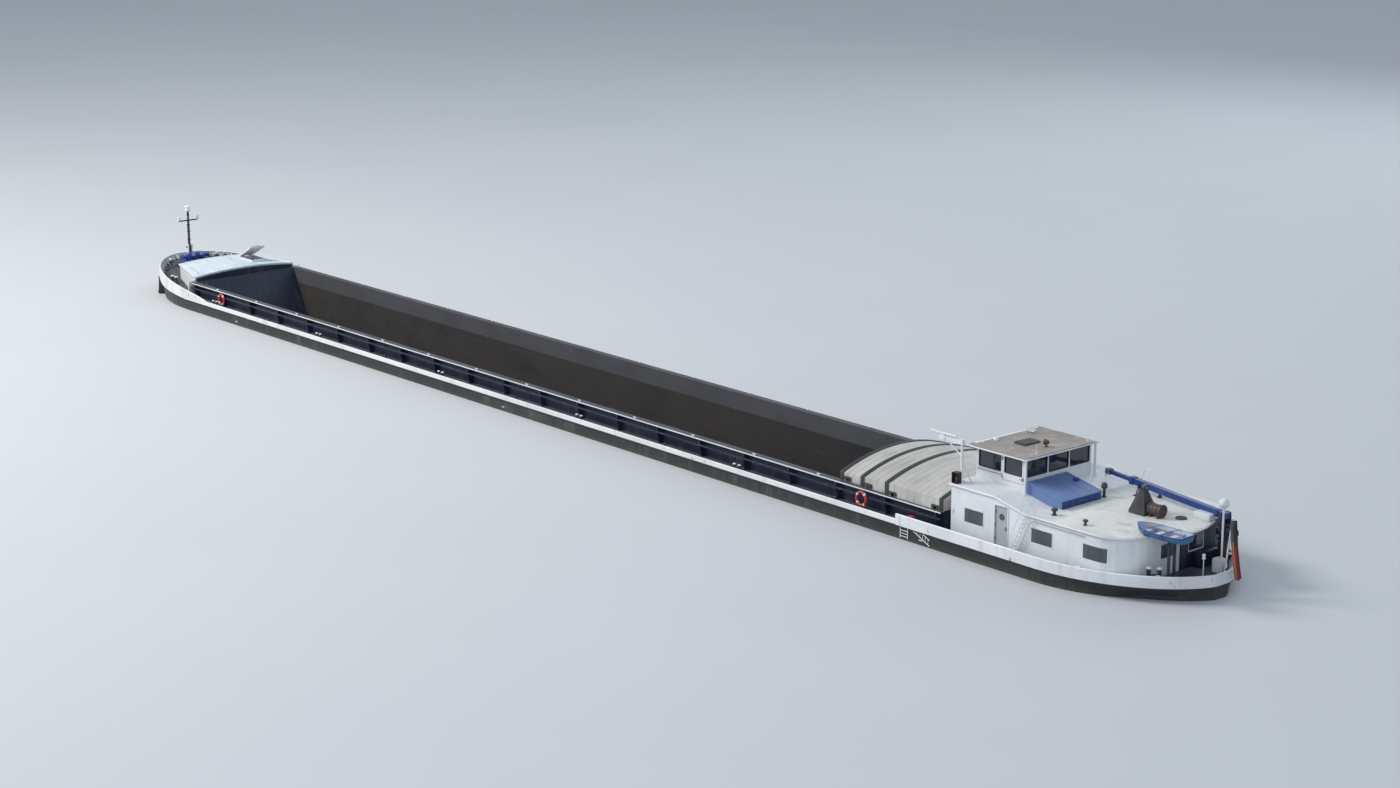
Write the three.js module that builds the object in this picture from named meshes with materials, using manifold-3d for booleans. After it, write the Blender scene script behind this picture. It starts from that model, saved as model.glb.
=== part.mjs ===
// Inland river barge, a 1:10 model in millimetres.
// X runs forward, Y to port and Z up. The origin is amidships on the flat bottom.
import * as THREE from 'three';
import { mergeVertices } from 'three/addons/utils/BufferGeometryUtils.js';
import Module from 'manifold-3d';

const wasm = await Module();
wasm.setup();

// Driving dimensions
const LENGTH = 8340;
const BEAM = 860;
const BAND = 8;
const GAP = 0.3;
const HALF_LENGTH = LENGTH / 2;
const SIDE = BEAM / 2 - BAND;
const DECK = 310;
const BOTTOM_PLATE = 45;
const HOLD_AFT = -2930;
const HOLD_FORE = 3430;
const HOLD_HALF = 345;
const COAMING_TOP = 400;
const SLOPE_FOOT = 3243;
const BOW_START = 3430;
const STERN_START = -3520;
const END_X = HALF_LENGTH - BAND;
const BOW_BAND_START = 3200;
const STERN_BAND_END = -2700;

// Colours
const PAINT = {
  black: { color: 0x14181d, roughness: 0.55 },
  white: { color: 0xe4e6e6, roughness: 0.45 },
  deck: { color: 0x4d5358, roughness: 0.8 },
  navy: { color: 0x16233c, roughness: 0.5 },
  paleBlue: { color: 0xb9cbdc, roughness: 0.55 },
  cream: { color: 0xcfccc2, roughness: 0.7 },
  cover: { color: 0xc9c5ba, roughness: 0.5, metalness: 0.3 },
  craneBlue: { color: 0x1f56a8, roughness: 0.45 },
  charcoal: { color: 0x26292d, roughness: 0.5 },
  hold: { color: 0x5a5450, roughness: 0.85 },
  bronze: { color: 0x9c7b45, roughness: 0.35, metalness: 0.9 },
  steel: { color: 0x6e747a, roughness: 0.5, metalness: 0.6 },
  fabric: { color: 0xd0392f, roughness: 0.9 },
  leather: { color: 0x24262a, roughness: 0.7 },
};

const ship = new THREE.Group();

// Small helpers
const clamp = (value) => Math.min(1, Math.max(0, value));
const degrees = (angle) => (angle * Math.PI) / 180;
const smooth = (value) => clamp(value) ** 2 * (3 - 2 * clamp(value));
const mirrorName = (side) => (side > 0 ? 'port' : 'starboard');

function toSolid(geometry) {
  const bare = geometry.clone();
  bare.deleteAttribute('normal');
  bare.deleteAttribute('uv');
  const merged = mergeVertices(bare, 1e-3);
  const vertProperties = Float32Array.from(merged.attributes.position.array);
  const triVerts = Uint32Array.from(merged.index.array);
  return new wasm.Manifold(new wasm.Mesh({ numProp: 3, vertProperties, triVerts }));
}

function toGeometry(solid) {
  const mesh = solid.getMesh();
  const geometry = new THREE.BufferGeometry();
  const positions = new Float32Array(mesh.vertProperties);
  geometry.setAttribute('position', new THREE.BufferAttribute(positions, 3));
  geometry.setIndex(new THREE.BufferAttribute(new Uint32Array(mesh.triVerts), 1));
  geometry.computeVertexNormals();
  return geometry;
}

function join(solids) {
  return solids.reduce((whole, solid) => whole.add(solid));
}

function cut(solid, tools) {
  return tools.reduce((rest, tool) => rest.subtract(tool), solid);
}

function place(name, solid, paint, position = [0, 0, 0], turnZ = 0) {
  const mesh = new THREE.Mesh(toGeometry(solid), new THREE.MeshStandardMaterial(PAINT[paint]));
  mesh.name = name;
  mesh.position.set(...position);
  mesh.rotation.z = turnZ;
  ship.add(mesh);
  return mesh;
}

function box([x0, x1], [y0, y1], [z0, z1]) {
  const geometry = new THREE.BoxGeometry(x1 - x0, y1 - y0, z1 - z0);
  geometry.translate((x0 + x1) / 2, (y0 + y1) / 2, (z0 + z1) / 2);
  return toSolid(geometry);
}

function extrude(points, depth) {
  const shape = new THREE.Shape(points.map(([u, v]) => new THREE.Vector2(u, v)));
  return new THREE.ExtrudeGeometry(shape, { depth, bevelEnabled: false });
}

// A plan outline (x, y) raised between two heights
function plan(points, [z0, z1]) {
  const geometry = extrude(points, z1 - z0);
  geometry.translate(0, 0, z0);
  return toSolid(geometry);
}

// A cross-section (y, z) run along X
function alongX(points, [x0, x1]) {
  const geometry = extrude(points, x1 - x0);
  geometry.rotateX(Math.PI / 2);
  geometry.rotateZ(Math.PI / 2);
  geometry.translate(x0, 0, 0);
  return toSolid(geometry);
}

// A side profile (x, z) run along Y
function alongY(points, [y0, y1]) {
  const geometry = extrude(points, y1 - y0);
  geometry.rotateX(Math.PI / 2);
  geometry.translate(0, y1, 0);
  return toSolid(geometry);
}

function rod(axis, [x, y, z], radius, length, sides = 16, endRadius = radius) {
  const geometry = new THREE.CylinderGeometry(endRadius, radius, length, sides);
  geometry.translate(0, length / 2, 0);
  if (axis === 'x') geometry.rotateZ(-Math.PI / 2);
  if (axis === 'z') geometry.rotateX(Math.PI / 2);
  geometry.translate(x, y, z);
  return toSolid(geometry);
}

// Rings of equal length become one closed solid; the end rings are convex
function loft(rings) {
  const count = rings[0].length;
  const positions = rings.flat(2);
  const index = [];
  for (let ring = 0; ring < rings.length - 1; ring += 1) {
    for (let point = 0; point < count; point += 1) {
      const next = (point + 1) % count;
      const [a, b] = [ring * count + point, ring * count + next];
      index.push(a, b, b + count, a, b + count, a + count);
    }
  }
  const last = (rings.length - 1) * count;
  for (let point = 1; point < count - 1; point += 1) {
    index.push(0, point + 1, point, last, last + point, last + point + 1);
  }
  const corner = (i) => new THREE.Vector3(...positions.slice(3 * i, 3 * i + 3));
  let volume = 0;
  for (let i = 0; i < index.length; i += 3) {
    const [a, b, c] = [corner(index[i]), corner(index[i + 1]), corner(index[i + 2])];
    volume += a.dot(b.cross(c));
  }
  if (volume < 0) index.reverse();
  const geometry = new THREE.BufferGeometry();
  geometry.setAttribute('position', new THREE.Float32BufferAttribute(positions, 3));
  geometry.setIndex(index);
  return toSolid(geometry);
}

// Points of an arc about a centre, from one angle to another
function arc([u, v], radius, from, to, steps) {
  return Array.from({ length: steps + 1 }, (_, i) => {
    const angle = degrees(from + ((to - from) * i) / steps);
    return [u + radius * Math.cos(angle), v + radius * Math.sin(angle)];
  });
}

// Hull form
function deckHalf(x) {
  const bow = clamp((x - BOW_START) / (HALF_LENGTH - BOW_START));
  const stern = clamp((STERN_START - x) / (STERN_START + HALF_LENGTH));
  return SIDE * Math.sqrt(1 - bow ** 2) * (1 - stern ** 2) ** 0.6;
}

function bilgeHalf(x) {
  const bow = clamp((1.12 * (x - BOW_START)) / (HALF_LENGTH - BOW_START));
  const stern = clamp((STERN_START - x) / (STERN_START + HALF_LENGTH));
  return Math.max(10, SIDE * (1 - bow ** 1.8) ** 0.6 * (1 - stern ** 2) ** 0.6 * (1 - 0.2 * stern));
}

function bottomHeight(x) {
  const bow = clamp((x - BOW_START) / (HALF_LENGTH - BOW_START));
  const stemRake = clamp((bow - 0.85) / 0.15);
  return 50 * bow ** 3 + 150 * stemRake ** 2 + 226 * smooth((-3480 - x) / 520);
}

function deckHeight(x) {
  const bow = clamp((x - HOLD_FORE) / (HALF_LENGTH - HOLD_FORE));
  return DECK + 90 * bow ** 1.3;
}

function hullRing(x) {
  const half = bilgeHalf(x);
  const bottom = bottomHeight(x);
  const radius = Math.min(40, 0.5 * half, 0.4 * (deckHeight(x) - bottom));
  const portSide = [...arc([half - radius, bottom + radius], radius, -90, 0, 4), [deckHalf(x), deckHeight(x)]];
  const starboardSide = portSide.map(([y, z]) => [-y, z]).reverse();
  return [...portSide, ...starboardSide].map(([y, z]) => [x, y, z]);
}

// Stations crowd towards the end, where the plan turns fastest
function endStations(start, end, steps) {
  return Array.from({ length: steps + 1 }, (_, i) => start + (end - start) * Math.sin((i / steps) * Math.PI / 2));
}

const bowStations = [HOLD_FORE + GAP, ...endStations(3500, END_X, 14)];
const sternStations = [HOLD_AFT - GAP, -3400, ...endStations(STERN_START, -END_X, 18)];

// A wedge under the foredeck, for trimming what stands on it
function underForedeck(lift = GAP) {
  const stations = [HOLD_FORE - 60, HOLD_FORE, ...endStations(3500, HALF_LENGTH, 14)];
  const line = stations.map((x) => [x, deckHeight(x) + lift]);
  return alongY([[HOLD_FORE - 60, 100], [HALF_LENGTH, 100], ...line.reverse()], [-600, 600]);
}

// Hull sections
function hull() {
  const bow = loft(bowStations.map(hullRing));
  const deadwood = alongY([[-3440, 4], [-3700, 50], [-3875, 60], [-3875, 240], [-3440, 240]], [-11, 11]);
  const boss = rod('x', [-3880, 0, 85], 22, 160);
  const bore = rod('x', [-3890, 0, 85], 10.5, 80);
  const stern = cut(join([loft(sternStations.map(hullRing)), deadwood, boss]), [bore]);
  place('hull_bow_section', bow, 'black');
  place('hull_stern_section', stern, 'black');

  const span = [HOLD_AFT, HOLD_FORE];
  const floor = box([HOLD_AFT, SLOPE_FOOT - GAP], [GAP - HOLD_HALF, HOLD_HALF - GAP], [0, BOTTOM_PLATE]);
  place('hull_double_bottom', floor, 'hold');
  const bilge = arc([SIDE - 40, 40], 40, -90, 0, 4);
  const wing = [[HOLD_HALF, 0], ...bilge, [SIDE, DECK], [HOLD_HALF, DECK]];
  for (const side of [1, -1]) {
    const section = wing.map(([y, z]) => [side * y, z]);
    place(`hull_wing_${mirrorName(side)}`, alongX(section, span), 'black');
  }
}

// Coamings: a plate with its flange, stays and handrail
function coamings() {
  const [inner, plate, flange, rail] = [HOLD_HALF, HOLD_HALF + 7, HOLD_HALF + 38, HOLD_HALF + 44];
  const bottom = DECK + GAP;
  const stay = [[plate - 1, bottom], [flange - 12, bottom], [flange, 376], [flange, 396], [plate - 1, 396]];
  const stayCount = 21;
  for (const side of [1, -1]) {
    const turned = (points) => points.map(([y, z]) => [side * y, z]);
    const bars = [
      [[inner, bottom], [plate, bottom], [plate, COAMING_TOP], [inner, COAMING_TOP]],
      [[inner, 394], [flange, 394], [flange, COAMING_TOP], [inner, COAMING_TOP]],
      [[flange - 1, 366], [rail, 366], [rail, 374], [flange - 1, 374]],
    ];
    const stays = Array.from({ length: stayCount }, (_, i) => {
      const x = HOLD_AFT + 30 + ((HOLD_FORE - HOLD_AFT - 66) * i) / (stayCount - 1);
      return alongX(turned([...stay.slice(0, 2), [flange, 364], ...stay.slice(3)]), [x, x + 6]);
    });
    const runs = bars.map((bar) => alongX(turned(bar), [HOLD_AFT + GAP, HOLD_FORE - GAP]));
    place(`coaming_${mirrorName(side)}`, join([...runs, ...stays]), 'navy');
  }
  const slope = [[HOLD_FORE - GAP, COAMING_TOP], [SLOPE_FOOT, BOTTOM_PLATE], [SLOPE_FOOT, 0], [HOLD_FORE - GAP, 0]];
  place('hold_bulkhead_fore', alongY(slope, [GAP - HOLD_HALF, HOLD_HALF - GAP]), 'navy');
  const ends = { fore: [HOLD_FORE + 1, HOLD_FORE + 8], aft: [HOLD_AFT - 8, HOLD_AFT - 1] };
  for (const [end, span] of Object.entries(ends)) {
    const plateSolid = box(span, [-HOLD_HALF, HOLD_HALF], [bottom, COAMING_TOP]);
    place(`coaming_${end}`, cut(plateSolid, [underForedeck()]), 'navy');
  }
}

// White band at the deck edge: a plate outside the hull, raised to a bulwark at both ends
function edgeBands() {
  const outlineX = (stations) => stations.map((x) => [x, deckHalf(x)]);
  const ring = (point, before, after, low, high) => {
    const along = new THREE.Vector2(after[0] - before[0], after[1] - before[1]).normalize();
    const out = new THREE.Vector2(-along.y, along.x);
    const at = (offset, z) => [point[0] + out.x * offset, point[1] + out.y * offset, z];
    return [at(0.4, low), at(BAND, low), at(BAND, high), at(0.4, high)];
  };
  const band = (portLine, low, high) => {
    const line = [...portLine, ...portLine.map(([x, y]) => [x, -y]).reverse()];
    const sense = line[0][0] < line[line.length >> 1][0] ? line : line.slice().reverse();
    return loft(sense.map((point, i) => {
      const before = sense[Math.max(0, i - 1)];
      const after = sense[Math.min(sense.length - 1, i + 1)];
      return ring(point, before, after, low(point[0]), high(point[0]));
    }));
  };
  const bowLine = outlineX([BOW_BAND_START, 3280, 3350, HOLD_FORE, ...endStations(3500, END_X, 14)]);
  const bowTop = (x) => 327 + 103.5 * clamp((x - BOW_BAND_START) / 1000) ** 0.8;
  const bowFoot = (x) => deckHeight(x) - 6 - 14 * smooth((x - 3500) / 300);
  place('bulwark_bow', band(bowLine, bowFoot, bowTop), 'white');
  const sternLine = outlineX([STERN_BAND_END, -3400, ...endStations(STERN_START, -END_X, 18)]);
  place('bulwark_stern', band(sternLine, () => DECK - 8, () => 348), 'white');

  for (const side of [1, -1]) {
    const [near, far] = [side * (SIDE + 0.4), side * (SIDE + BAND)].sort((a, b) => a - b);
    const strake = box([STERN_BAND_END + 1, BOW_BAND_START - 1], [near, far], [304, 326]);
    place(`strake_${mirrorName(side)}`, strake, 'white');
  }
}

// Bow: trunk, companion, windlass and mast
const TRUNK = { aft: HOLD_FORE + 9, fore: 3810, aftHalf: 345, foreHalf: 240, top: 415, camber: 24, wall: 6 };
const HOOD = { aft: 3536, fore: 3680, starboard: -210, port: -112, top: 458, wall: 5, open: degrees(28) };

function trunkPlan(grow) {
  const { aft, fore, aftHalf, foreHalf } = TRUNK;
  return [
    [aft - Math.min(grow, 0), -aftHalf - grow], [fore + grow, -foreHalf - grow],
    [fore + grow, foreHalf + grow], [aft - Math.min(grow, 0), aftHalf + grow],
  ];
}

// A cambered layer over the trunk, between two lifts from the eave line
function camberLayer(low, high) {
  const half = TRUNK.aftHalf + 20;
  const steps = Array.from({ length: 17 }, (_, i) => -half + (2 * half * i) / 16);
  const curve = (lift) => steps.map((y) => [y, TRUNK.top + lift + TRUNK.camber * (1 - (y / half) ** 2)]);
  return alongX([...curve(low), ...curve(high).reverse()], [HOLD_FORE - 60, HALF_LENGTH]);
}

function bowHouse() {
  const walls = plan(trunkPlan(0), [300, 500]);
  const room = plan(trunkPlan(-TRUNK.wall), [290, 520]);
  place('trunk_walls', cut(walls, [room, underForedeck(), camberLayer(-GAP, 200)]), 'white');

  const well = box([HOOD.aft + 8, HOOD.fore - 8], [HOOD.starboard + 8, HOOD.port - 8], [400, 500]);
  const roof = plan(trunkPlan(5), [300, 500]).intersect(camberLayer(0, 9));
  place('trunk_roof', cut(roof, [well]), 'paleBlue');

  const shell = cut(
    box([HOOD.aft, HOOD.fore], [HOOD.starboard, HOOD.port], [400, HOOD.top]),
    [camberLayer(-200, 9 + GAP)],
  );
  const inside = box(
    [HOOD.aft + HOOD.wall, HOOD.fore - HOOD.wall],
    [HOOD.starboard + HOOD.wall, HOOD.port - HOOD.wall],
    [400, 500],
  );
  place('companion_hood', cut(shell, [inside]), 'white');

  const lidLength = HOOD.fore - HOOD.aft + 8;
  const lid = place(
    'companion_lid',
    box([-lidLength, 4], [HOOD.starboard - 4, HOOD.port + 4], [0, 5]),
    'white',
    [HOOD.fore, 0, HOOD.top + 5],
  );
  lid.rotation.y = HOOD.open;
}

const WINDLASS = { x: 4040, half: 95, lift: 45 };
function windlass() {
  const deck = deckHeight(WINDLASS.x);
  const axle = deck + WINDLASS.lift;
  const base = box([WINDLASS.x - 34, WINDLASS.x + 34], [-60, 60], [deck - 20, deck + 8]);
  const cheekShape = [[-30, deck], [30, deck], [13, axle + 13], [-13, axle + 13]];
  const cheeks = [-54, 0, 54].map((y) => (
    alongY(cheekShape.map(([x, z]) => [WINDLASS.x + x, z]), [y - 5, y + 5])
  ));
  const bore = rod('y', [WINDLASS.x, -100, axle], 8.5, 200);
  place('windlass_frame', cut(join([base, ...cheeks]), [bore, underForedeck()]), 'navy');

  const shaft = rod('y', [WINDLASS.x, -WINDLASS.half, axle], 6.5, 2 * WINDLASS.half);
  const drums = [-1, 1].flatMap((side) => [
    rod('y', [WINDLASS.x, side > 0 ? 10 : -44, axle], 15, 34),
    ...[10, 38].map((near) => rod('y', [WINDLASS.x, side > 0 ? near : -near - 6, axle], 25, 6, 20)),
    rod('y', [WINDLASS.x, side > 0 ? 65 : -89, axle], 13, 24),
    rod('y', [WINDLASS.x, side > 0 ? 89 : -WINDLASS.half, axle], 18, 6),
  ]);
  place('windlass_drums', join([shaft, ...drums]), 'navy');
}

const MAST = { x: 4105, pivot: 475, top: 740, radius: 6 };
function mast() {
  const deck = deckHeight(MAST.x);
  const foot = box([MAST.x - 22, MAST.x + 22], [-24, 24], [deck - 20, deck + 6]);
  const cheeks = [-14, 9].map((y) => box([MAST.x - 13, MAST.x + 13], [y, y + 5], [deck, MAST.pivot + 14]));
  const pinBore = rod('y', [MAST.x, -30, MAST.pivot], 4.5, 60);
  place('mast_tabernacle', cut(join([foot, ...cheeks]), [pinBore, underForedeck()]), 'white');

  const pole = rod('z', [MAST.x, 0, deck + 14], MAST.radius, MAST.top - 20 - deck - 14, 16, 4);
  const pin = rod('y', [MAST.x, -17, MAST.pivot], 3, 34);
  const yard = rod('y', [MAST.x, -60, 645], 3.5, 120, 12);
  const yardLamps = [-60, 60].map((y) => rod('z', [MAST.x, y, 640], 7, 18));
  const topLamp = rod('z', [MAST.x, 0, MAST.top - 22], 9, 22);
  place('mast', join([pole, pin, yard, ...yardLamps, topLamp]), 'white');
}

function anchors() {
  const [x, z] = [3960, 300];
  const y = deckHalf(x) + BAND + 1.2;
  const heading = Math.atan2(deckHalf(x + 20) - deckHalf(x - 20), 40);
  const shank = box([-5, 5], [0, 9], [-45, 40]);
  const crown = box([-30, 30], [0, 14], [-58, -44]);
  const flukes = [-30, 18].map((left) => box([left, left + 12], [0, 9], [-58, -12]));
  const anchor = join([shank, crown, ...flukes]);
  for (const side of [1, -1]) {
    const solid = side > 0 ? anchor : anchor.mirror([0, 1, 0]);
    place(`anchor_${mirrorName(side)}`, solid, 'charcoal', [x, side * y, z], side * heading);
  }
}

function bollards() {
  const pairs = [
    { name: 'bow', x: 3760, y: 312, turn: 0 },
    { name: 'stern', x: -3992, y: 226, turn: degrees(37.5) },
  ];
  for (const { name, x, y, turn } of pairs) {
    const deck = deckHeight(x);
    for (const side of [1, -1]) {
      const set = (geometry) => toSolid(geometry.rotateZ(side * turn).translate(x, side * y, 0));
      const post = (radius, low, high, shift) => {
        const geometry = new THREE.CylinderGeometry(radius, radius, high - low, 16);
        return set(geometry.rotateX(Math.PI / 2).translate(shift, 0, (low + high) / 2));
      };
      const plate = set(new THREE.BoxGeometry(76, 28, 25).translate(0, 0, deck - 7.5));
      const posts = [-22, 22].flatMap((shift) => [
        post(9, deck, deck + 36, shift), post(12, deck + 34, deck + 39, shift),
      ]);
      const trim = name === 'bow' ? underForedeck() : box([-5000, 0], [-600, 600], [0, DECK + GAP]);
      place(`bollards_${name}_${mirrorName(side)}`, cut(join([plate, ...posts]), [trim]), 'charcoal');
    }
  }
}

// Stern accommodation
const HOUSE = { aft: -3950, fore: -2970, half: 360, corner: 170, wall: 8, lowTop: 492, highTop: 530 };
const SLOPE = { fore: -3230, aft: -3400 };
const ROOF = 10;
const SIDE_LIGHT = [384, 446];
const HOUSE_DOOR = { aft: -3302, fore: -3228, sill: 326, head: 500 };

function housePlan(grow) {
  const radius = HOUSE.corner + grow;
  const [centreX, centreY] = [HOUSE.aft + HOUSE.corner, HOUSE.half - HOUSE.corner];
  return [
    [HOUSE.fore + grow, -HOUSE.half - grow], [HOUSE.fore + grow, HOUSE.half + grow],
    ...arc([centreX, centreY], radius, 90, 180, 8),
    ...arc([centreX, -centreY], radius, 180, 270, 8),
  ];
}

// The roof's side profile, between two lifts above the wall's top
function roofProfile(low, high) {
  const edge = (lift) => [
    [-4200, HOUSE.lowTop + lift], [SLOPE.aft, HOUSE.lowTop + lift],
    [SLOPE.fore, HOUSE.highTop + lift], [-2900, HOUSE.highTop + lift],
  ];
  return alongY([...edge(low), ...edge(high).reverse()], [-600, 600]);
}

function house() {
  const windows = [
    { x: -3105, width: 108 },
    { x: -3495, width: 115 },
    { x: -3784, width: 122 },
  ].map(({ x, width }) => box([x - width / 2, x + width / 2], [-500, 500], SIDE_LIGHT));
  const frontWindows = [-215, -75, 75, 215].map((y) => box([-3000, -2900], [y - 50, y + 50], [432, 492]));
  const aftWindows = [-90, 90].map((y) => box([-4000, -3900], [y - 45, y + 45], SIDE_LIGHT));
  const doorways = box([HOUSE_DOOR.aft, HOUSE_DOOR.fore], [-500, 500], [HOUSE_DOOR.sill, HOUSE_DOOR.head]);
  const shell = plan(housePlan(0), [DECK + GAP, 600]);
  const room = plan(housePlan(-HOUSE.wall), [0, 700]);
  const cuts = [room, roofProfile(-GAP, 200), ...windows, ...frontWindows, ...aftWindows, doorways];
  place('house_walls', cut(shell, cuts), 'white');

  const roof = roofProfile(0, ROOF).intersect(plan(housePlan(8), [400, 700]));
  const split = SLOPE.aft;
  place('house_roof_fore', roof.intersect(box([split + GAP, 0], [-600, 600], [0, 900])), 'white');
  place('house_roof_aft', roof.intersect(box([-5000, split], [-600, 600], [0, 900])), 'cream');

  for (const side of [1, -1]) {
    const inner = HOUSE.half - HOUSE.wall;
    const [near, far] = [side * inner, side * (inner + 5)].sort((a, b) => a - b);
    const leaf = box(
      [HOUSE_DOOR.aft + 2, HOUSE_DOOR.fore - 2],
      [near, far],
      [HOUSE_DOOR.sill + 2, HOUSE_DOOR.head - 2],
    );
    place(`house_door_${mirrorName(side)}`, leaf, 'steel');
  }
}

// Wheelhouse on the forward roof
const CABIN = { aft: -3260, fore: -2975, half: 212, wall: 6, eave: 22, top: 676, sill: 596, head: 670 };
const CABIN_DOOR = { aft: -3252, fore: -3128, sill: 562, head: 672 };
const ROOF_TOP = HOUSE.highTop + ROOF;

function wheelhouse() {
  const outside = box([CABIN.aft, CABIN.fore], [-CABIN.half, CABIN.half], [500, CABIN.top]);
  const inside = box(
    [CABIN.aft + CABIN.wall, CABIN.fore - CABIN.wall],
    [CABIN.wall - CABIN.half, CABIN.half - CABIN.wall],
    [400, 800],
  );
  const band = [CABIN.sill, CABIN.head];
  const endPanes = [-136, 0, 136].map((y) => box([-3500, -2900], [y - 62, y + 62], band));
  const sidePane = box([-3118, -2990], [-300, 300], band);
  const doorways = box([CABIN_DOOR.aft, CABIN_DOOR.fore], [-300, 300], [CABIN_DOOR.sill, CABIN_DOOR.head]);
  const cuts = [inside, roofProfile(-200, ROOF + GAP), ...endPanes, sidePane, doorways];
  place('wheelhouse_walls', cut(outside, cuts), 'white');

  const [eave, crown] = [CABIN.half + CABIN.eave, CABIN.top + 11];
  const section = [
    [-eave, CABIN.top + GAP], [eave, CABIN.top + GAP], [eave, crown - 5],
    [eave - 30, crown], [30 - eave, crown], [-eave, crown - 5],
  ];
  place('wheelhouse_roof', alongX(section, [CABIN.aft - 20, CABIN.fore + 35]), 'cream');

  for (const side of [1, -1]) {
    const [near, far] = [side * (CABIN.half - 5), side * CABIN.half].sort((a, b) => a - b);
    const leaf = box(
      [CABIN_DOOR.aft + 2, CABIN_DOOR.fore - 2],
      [near, far],
      [CABIN_DOOR.sill + 2, CABIN_DOOR.head - 2],
    );
    const pane = box([CABIN_DOOR.aft + 12, CABIN_DOOR.fore - 12], [-300, 300], [CABIN.sill, CABIN.head - 4]);
    place(`wheelhouse_door_${mirrorName(side)}`, cut(leaf, [pane]), 'white');
  }

  const desk = [[-3040, ROOF_TOP + GAP], [-2990, ROOF_TOP + GAP], [-2990, 602], [-3020, 602], [-3040, 588]];
  place('console', alongY(desk, [-120, 120]), 'charcoal');
  const seat = join([
    box([-3138, -3092], [-23, 23], [578, 588]),
    box([-3144, -3136], [-22, 22], [578, 642]),
    rod('z', [-3115, 0, ROOF_TOP + GAP], 6, 40),
    rod('z', [-3115, 0, ROOF_TOP + GAP], 18, 4),
  ]);
  place('helm_chair', seat, 'leather');
}

// The scanner turns on an arm ahead of its pole
const SCANNER = { x: -2984, arm: 112, y: 315, z: 724 };
function radar() {
  const { x, arm, y, z } = SCANNER;
  const poleSolid = join([
    rod('z', [x, y, ROOF_TOP + GAP], 15, 5),
    rod('z', [x, y, ROOF_TOP + GAP], 6, 170),
    box([x - 10, x + arm + 12], [y - 9, y + 9], [z - 18, z]),
  ]);
  place('radar_mast', poleSolid, 'white');
  const scanner = join([
    rod('z', [x + arm, y, z + 1], 6, 8),
    box([x + arm - 80, x + arm + 80], [y - 7, y + 7], [z + 6, z + 15]),
  ]);
  place('radar_scanner', scanner, 'white');
}

function roofGear() {
  const base = HOUSE.lowTop + ROOF + GAP;
  const [x, y] = [-3718, -20];
  const square = (half, z) => [[half, half], [-half, half], [-half, -half], [half, -half]].map(
    ([u, v]) => [x + u, y + v, z],
  );
  place('funnel', loft([square(43, base), square(42, base + 12), square(15, base + 96), square(15, base + 108)]), 'charcoal');
  const drumAxis = [-3830, -15, base + 31];
  const drumFoot = box([-3822, -3774], [-31, 1], [base, base + 14]);
  place('hose_drum', join([rod('x', drumAxis, 28, 64, 24), drumFoot]), 'charcoal');
  const hoodSide = [[-3470, 400], [-3267, 400], [-3267, 577], [-3470, 537]];
  const hood = cut(alongY(hoodSide, [-40, 210]), [roofProfile(-200, ROOF + GAP)]);
  place('stair_hood', hood, 'craneBlue');
}

// Workboat on its chocks, bow forward and turned a little
const BOAT = { x: -4006, y: 200, turn: degrees(1.5), base: 507, half: 124 };
function workboat() {
  // Columns: station along the boat, half-breadth at the gunwale, half-breadth of the floor, gunwale height
  const sections = [
    [-BOAT.half, 48, 38, 29], [-62, 56, 45, 28], [16, 56, 44, 29], [70, 45, 34, 31], [105, 26, 16, 34],
    [BOAT.half, 6, 4, 37],
  ];
  const shellRing = (inset, floor) => ([station, half, floorHalf, height]) => {
    const x = station - Math.sign(station) * inset * (Math.abs(station) === BOAT.half ? 1 : 0);
    const [wide, narrow] = [Math.max(1, half - inset), Math.max(1, floorHalf - inset)];
    const top = floor ? height + 10 : height;
    return [[x, -narrow, floor], [x, narrow, floor], [x, wide, top], [x, -wide, top]];
  };
  const outside = loft(sections.map(shellRing(0, 0)));
  const inside = loft(sections.map(shellRing(4, 5)));
  const thwarts = [-78, -8, 54].map((x) => box([x, x + 20], [-70, 70], [17, 21]));
  const trimmed = thwarts.map((thwart) => thwart.intersect(outside));
  place('workboat', join([cut(outside, [inside]), ...trimmed]), 'craneBlue', [BOAT.x, BOAT.y, BOAT.base], BOAT.turn);

  const railTop = BOAT.base - GAP;
  const roofTop = HOUSE.lowTop + ROOF + GAP;
  const sides = [BOAT.y - 32, BOAT.y + 4];
  const rails = sides.map((y) => box([-4090, -3900], [y - 4, y + 4], [roofTop, railTop]));
  const beams = [-4090, -3908].map((x) => box([x, x + 8], sides, [roofTop, railTop]));
  const legs = sides.map((y) => box([-4052, -4042], [y - 4, y + 4], [DECK + GAP, railTop]));
  place('boat_stand', join([...rails, ...beams, ...legs]), 'navy');
}

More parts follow.
